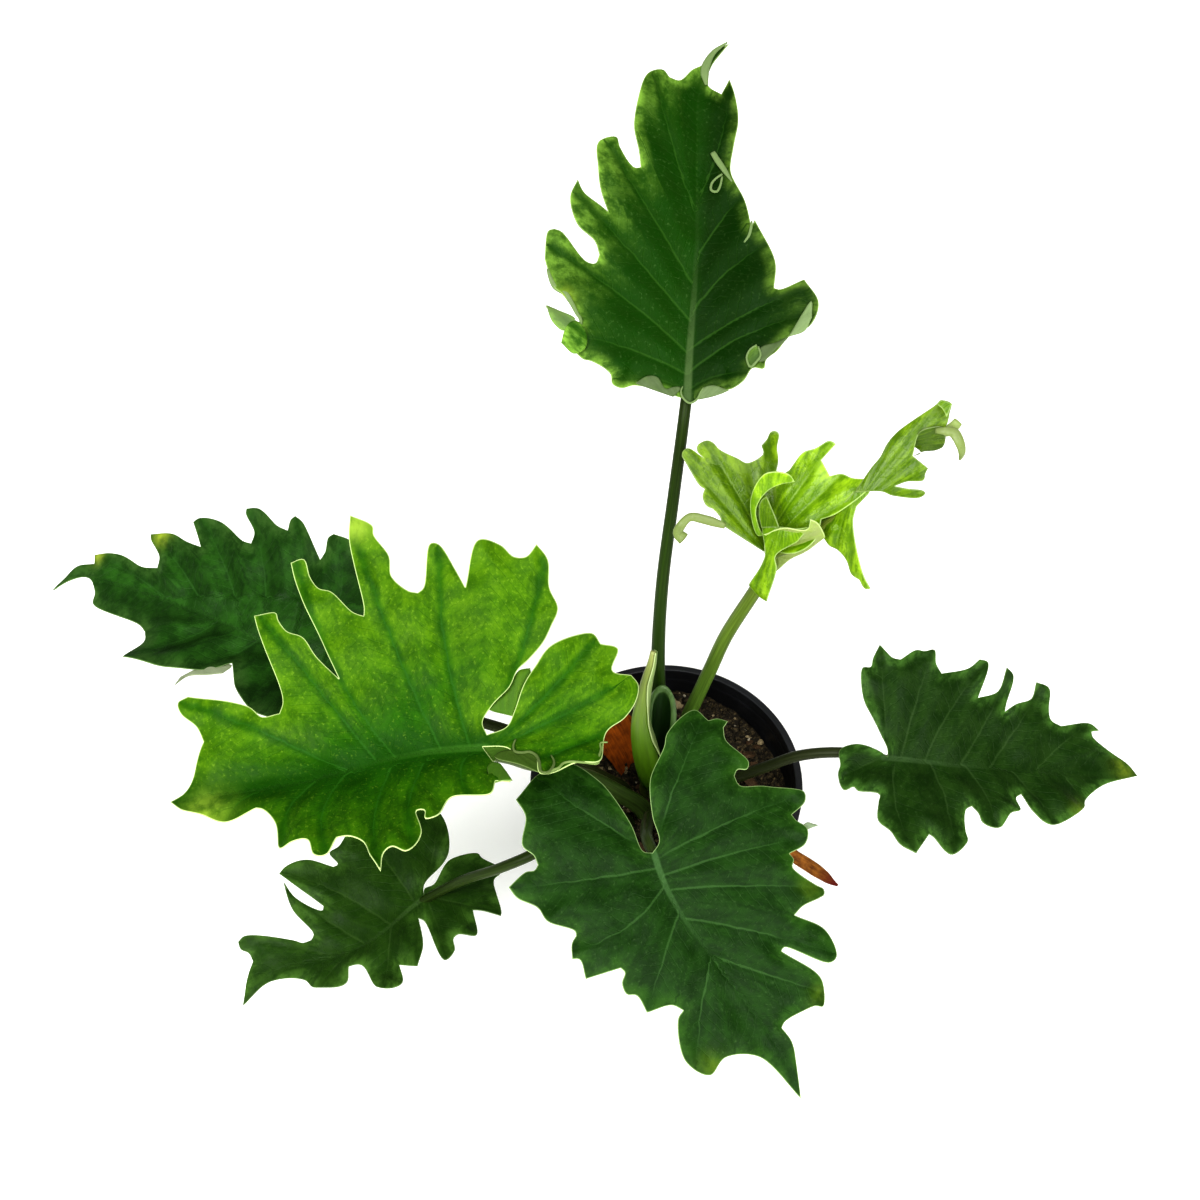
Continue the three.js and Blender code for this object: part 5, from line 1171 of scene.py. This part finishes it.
def sheetFrom(outer, inner):
    # a thin closed sheet from two grids of points, row by row
    rows, columns = outer.shape[:2]
    a, b = np.arange(2 * rows * columns).reshape(2, rows, columns).tolist()
    faces = []
    for i in range(rows - 1):
        for j in range(columns - 1):
            faces.append((a[i][j], a[i][j + 1], a[i + 1][j + 1], a[i + 1][j]))
            faces.append((b[i][j + 1], b[i][j], b[i + 1][j], b[i + 1][j + 1]))
        faces.append((a[i][0], a[i + 1][0], b[i + 1][0], b[i][0]))
        faces.append((b[i][-1], b[i + 1][-1], a[i + 1][-1], a[i][-1]))
    for j in range(columns - 1):
        faces.append((b[0][j], b[0][j + 1], a[0][j + 1], a[0][j]))
        faces.append((a[-1][j], a[-1][j + 1], b[-1][j + 1], b[-1][j]))
    return np.vstack([outer.reshape(-1, 3), inner.reshape(-1, 3)]), faces


def sheathMaterial(name, pale):
    # young sheath tissue: smooth, half glossy, paler towards its free edge, with painted shade in the open
    # sheath's hollow
    material, tree, shader = newMaterial(name)
    along, fold, rim, inside = (addNode(tree, "Attribute", output="Fac", attribute_name=key)
                                for key in ("along", "fold", "rim", "inside"))
    grid = addNode(tree, "Attribute", output="Vector", attribute_name="grid")
    lines = addNode(tree, "TexNoise", {"Vector": grid, "Scale": 1.0, "Detail": 4.0})
    tone = addNode(tree, "MapRange", (lines, 0.3, 0.7, 0.8, 1.2))
    colour = addNode(tree, "ValToRGB", (along,))
    stops = colour.node.color_ramp.elements
    stops.new(0.55)
    for stop, key in zip(stops, ("low", "middle", "tip")):
        stop.color = fromHex(crown[key])
    # the pale fold, painted shade in the hollow, and the pale rim
    for share, over in ((fold, crown["flap"]), (inside, crown["inside"]), (rim, pale)):
        colour = addNode(tree, "Mix", {0: share, 6: colour, 7: fromHex(over)}, 2, data_type="RGBA")
    setInputs(tree, shader, {
        "Base Color": addNode(tree, "Mix", {0: 1.0, 6: colour, 7: tone}, 2,
                              data_type="RGBA", blend_type="MULTIPLY"),
        "Roughness": 0.42,
        "Normal": addNode(tree, "Bump", {"Height": lines, "Strength": 0.25, "Distance": 0.2 * mm}),
    })
    return material


def spearMesh():
    line, right, front = sheathRows(crown["spear"], 1.2)
    rows, sides, columns = len(line), crown["spearSides"], crown["flapColumns"]
    place = np.linspace(0, 1, rows)
    radius = between(place, crown["spearRadii"])
    points = []
    for c, r, s, f in zip(line, radius, right, front):
        for a in np.arange(sides) / sides * 2 * math.pi:
            points.append(c + s * r * math.cos(a) + f * r * crown["spearFlat"] * math.sin(a))
    faces = [(a, d, c, b) for a, b, c, d in ringFaces(rows - 1, sides)]
    last = (rows - 1) * sides
    faces += [tuple(range(sides))[::-1], tuple(range(last, last + sides))]
    count = len(points)
    across = np.tile(np.arange(sides), rows) / 3
    along = np.repeat(place, sides)
    body = {
        "along": along, "fold": np.zeros(count), "rim": np.zeros(count), "inside": np.zeros(count),
        "grid": np.stack([across, along * 4, np.zeros(count)], axis=1),
    }
    grids = np.zeros((2, rows, columns, 3))
    rim = np.zeros((rows, columns))
    start, thickness = math.radians(crown["flapStart"]), crown["flapThickness"]
    for i, (c, r, s, f) in enumerate(zip(line, radius, right, front)):
        end = math.radians(between(place[i], crown["flapEdge"]))
        lift = between(place[i], crown["flapLift"])
        for j, t in enumerate(np.linspace(0, 1, columns)):
            a = start + (end - start) * t
            for k, thick in enumerate((thickness, 0)):
                q = r + 0.15 + thick + (lift - thickness) * t * t
                grids[k, i, j] = c + s * q * math.cos(a) + f * q * crown["spearFlat"] * math.sin(a)
            rim[i, j] = rampBetween(t, 0.9, 1)
    flapPoints, flapFaces = sheetFrom(*grids)
    count = len(flapPoints)
    across = np.tile(np.arange(columns), 2 * rows) / 3
    along = np.tile(np.repeat(place, columns), 2)
    flap = {
        "along": along, "fold": np.ones(count), "rim": np.tile(rim.ravel(), 2), "inside": np.zeros(count),
        "grid": np.stack([across, along * 4, np.full(count, 5.0)], axis=1),
    }
    return gathered([(np.array(points), faces, body), (flapPoints, flapFaces, flap)])


def hoodMesh():
    # the open sheath: a trough with an arched, thickened pale edge
    rows, columns = 30, 48
    axis = smoothLine(crown["hoodAxis"], 1, count=60)
    shoulder = crown["hoodShoulder"]
    start, end = crown["hoodTurn"]
    grids = np.zeros((2, rows + 1, columns + 1, 3))
    rim = np.zeros((rows + 1, columns + 1))
    for j in range(columns + 1):
        s = j / columns
        reach = shoulder + (1 - shoulder) * math.sin(math.pi * s) ** crown["hoodSpring"]
        a = math.radians(start + (end - start) * s)
        for i in range(rows + 1):
            c = np.array([between(i / rows * reach, axis[:, k]) for k in range(3)])
            toEdge = min((1 - i / rows) * reach * crown["hoodLength"], min(s, 1 - s) * crown["hoodArc"])
            rim[i, j] = 1 - rampBetween(toEdge, 2.2, 3.2)
            swell = 0.5 * crown["hoodWall"] * (1 + 0.5 * rim[i, j]) * min(1, 0.35 + toEdge)
            for k, sign in ((0, 1), (1, -1)):
                q = crown["hoodRadius"] - 0.5 * crown["hoodWall"] + sign * swell
                grids[k, i, j] = (c[0] + q * math.cos(a), c[1] + q * math.sin(a), c[2])
    points, faces = sheetFrom(*grids)
    side = (rows + 1) * (columns + 1)
    across = np.tile(np.arange(columns + 1), 2 * (rows + 1)) / 3
    height = np.tile(np.repeat(np.arange(rows + 1), columns + 1), 2) / 8
    # painted shade: the inner face takes the hollow's deep green in full, the outer face 0.35 of it
    return points, faces, {
        "along": height / 8, "fold": np.zeros(2 * side), "rim": np.tile(rim.ravel(), 2),
        "inside": np.r_[np.full(side, 0.35), np.ones(side)],
        "grid": np.stack([across, height, np.zeros(2 * side)], axis=1),
    }


stemLine = smoothLine(crown["stem"], 1)
stemRadii = between(np.linspace(0, 1, len(stemLine)), crown["stemRadii"])
stemSkin = stalkMaterial("crown stem skin", crown["stemColour"], crown["stemColour"])
points, faces, attributes = tube(stemLine, stemRadii, 32)
addPiece("crown_stem", points, faces, stemSkin, attributes, replaces="crown")
spearSkin = sheathMaterial("rolled leaf skin", crown["rim"])
points, faces, attributes = spearMesh()
addPiece("new_leaf_spear", points, faces, spearSkin, attributes)
hoodSkin = sheathMaterial("open sheath skin", crown["hoodRim"])
points, faces, attributes = hoodMesh()
addPiece("open_sheath", points, faces, hoodSkin, attributes)

drySheath = {  # drawn as a small blade
    "joint": (-14, 9, 74), "heading": 130, "pitch": 62, "roll": 0,
    "foldLeft": 20, "foldRight": 20, "droop": 60,
    "margin": [[[-1, 0], [-2.5, 4], [-3.5, 9], [-4.5, 14.5], [-6, 20]], [[-7, 23], [-3, 25]],
               [[1, 31], [8, 28], [12, 24], [9.5, 16], [8, 8], [6.5, 0]]],
    "ripple": 0.5, "dimple": 0.4, "pleatShade": 0, "light": "#b8651a", "dark": "#703a0c",
}
strap = {
    "path": [(25, -13, 72), (29, -18, 86), (37, -27, 96), (43, -31, 96.5), (47, -33, 93), (53, -35, 88.8),
             (58.5, -38.5, 87.4), (61.7, -41, 86.8), (64, -42, 85.8)],
    "widths": (2.6, 2.8, 3, 2.8, 2.5, 2.3, 2.2, 2.2, 2.3, 2.4, 2.5, 2.5, 1.9, 0.4), "flat": 0.22,
    "light": "#946226", "dark": "#55300f", "end": "#5a1a12",
}


def paperyMaterial(name, look, grid):
    # dried sheath: thin, papery and matt, with long fibres
    material, tree, shader = newMaterial(name)
    place = addNode(tree, "Attribute", output="Vector", attribute_name=grid)
    fibres = addNode(tree, "VectorMath", (place, (1.4, 0.12, 0.12)), operation="MULTIPLY")
    lines = addNode(tree, "TexNoise", {"Vector": fibres, "Scale": 1.0, "Detail": 5.0, "Roughness": 0.65})
    patch = addNode(tree, "TexNoise", {"Vector": place, "Scale": 0.25, "Detail": 4.0})
    tone = addNode(tree, "MapRange", (addNode(tree, "Math", (lines, patch)), 0.75, 1.25))
    colour = fromHex(look["dark"])
    layers = [(tone, look["light"])]
    if "end" in look:  # the strap turns dark red over its last tenth
        along = addNode(tree, "Attribute", output="Fac", attribute_name="along")
        layers.append((addNode(tree, "MapRange", (along, 0.86, 0.97)), look["end"]))
    for share, over in layers:
        colour = addNode(tree, "Mix", {0: share, 6: colour, 7: fromHex(over)}, 2, data_type="RGBA")
    setInputs(tree, shader, {
        "Base Color": colour, "Roughness": 0.75, "Specular IOR Level": 0.2,
        "Normal": addNode(tree, "Bump", {"Height": lines, "Strength": 0.6, "Distance": 0.25 * mm}),
    })
    return material


points, faces, attributes = bladeMesh({**leafCommon, **drySheath})
addPiece("dry_sheath_skin", points, faces, paperyMaterial("dried sheath, orange-brown", drySheath, "flat"),
         attributes, replaces="dry_sheath")
strapLine = smoothLine(strap["path"], 0.8)
strapWidths = between(np.linspace(0, 1, len(strapLine)), strap["widths"])
points, faces, attributes = tube(strapLine, strapWidths, 32, strap["flat"])
addPiece("dry_strap_skin", points, faces, paperyMaterial("dried sheath, brown", strap, "turn"),
         attributes, replaces="dry_strap")
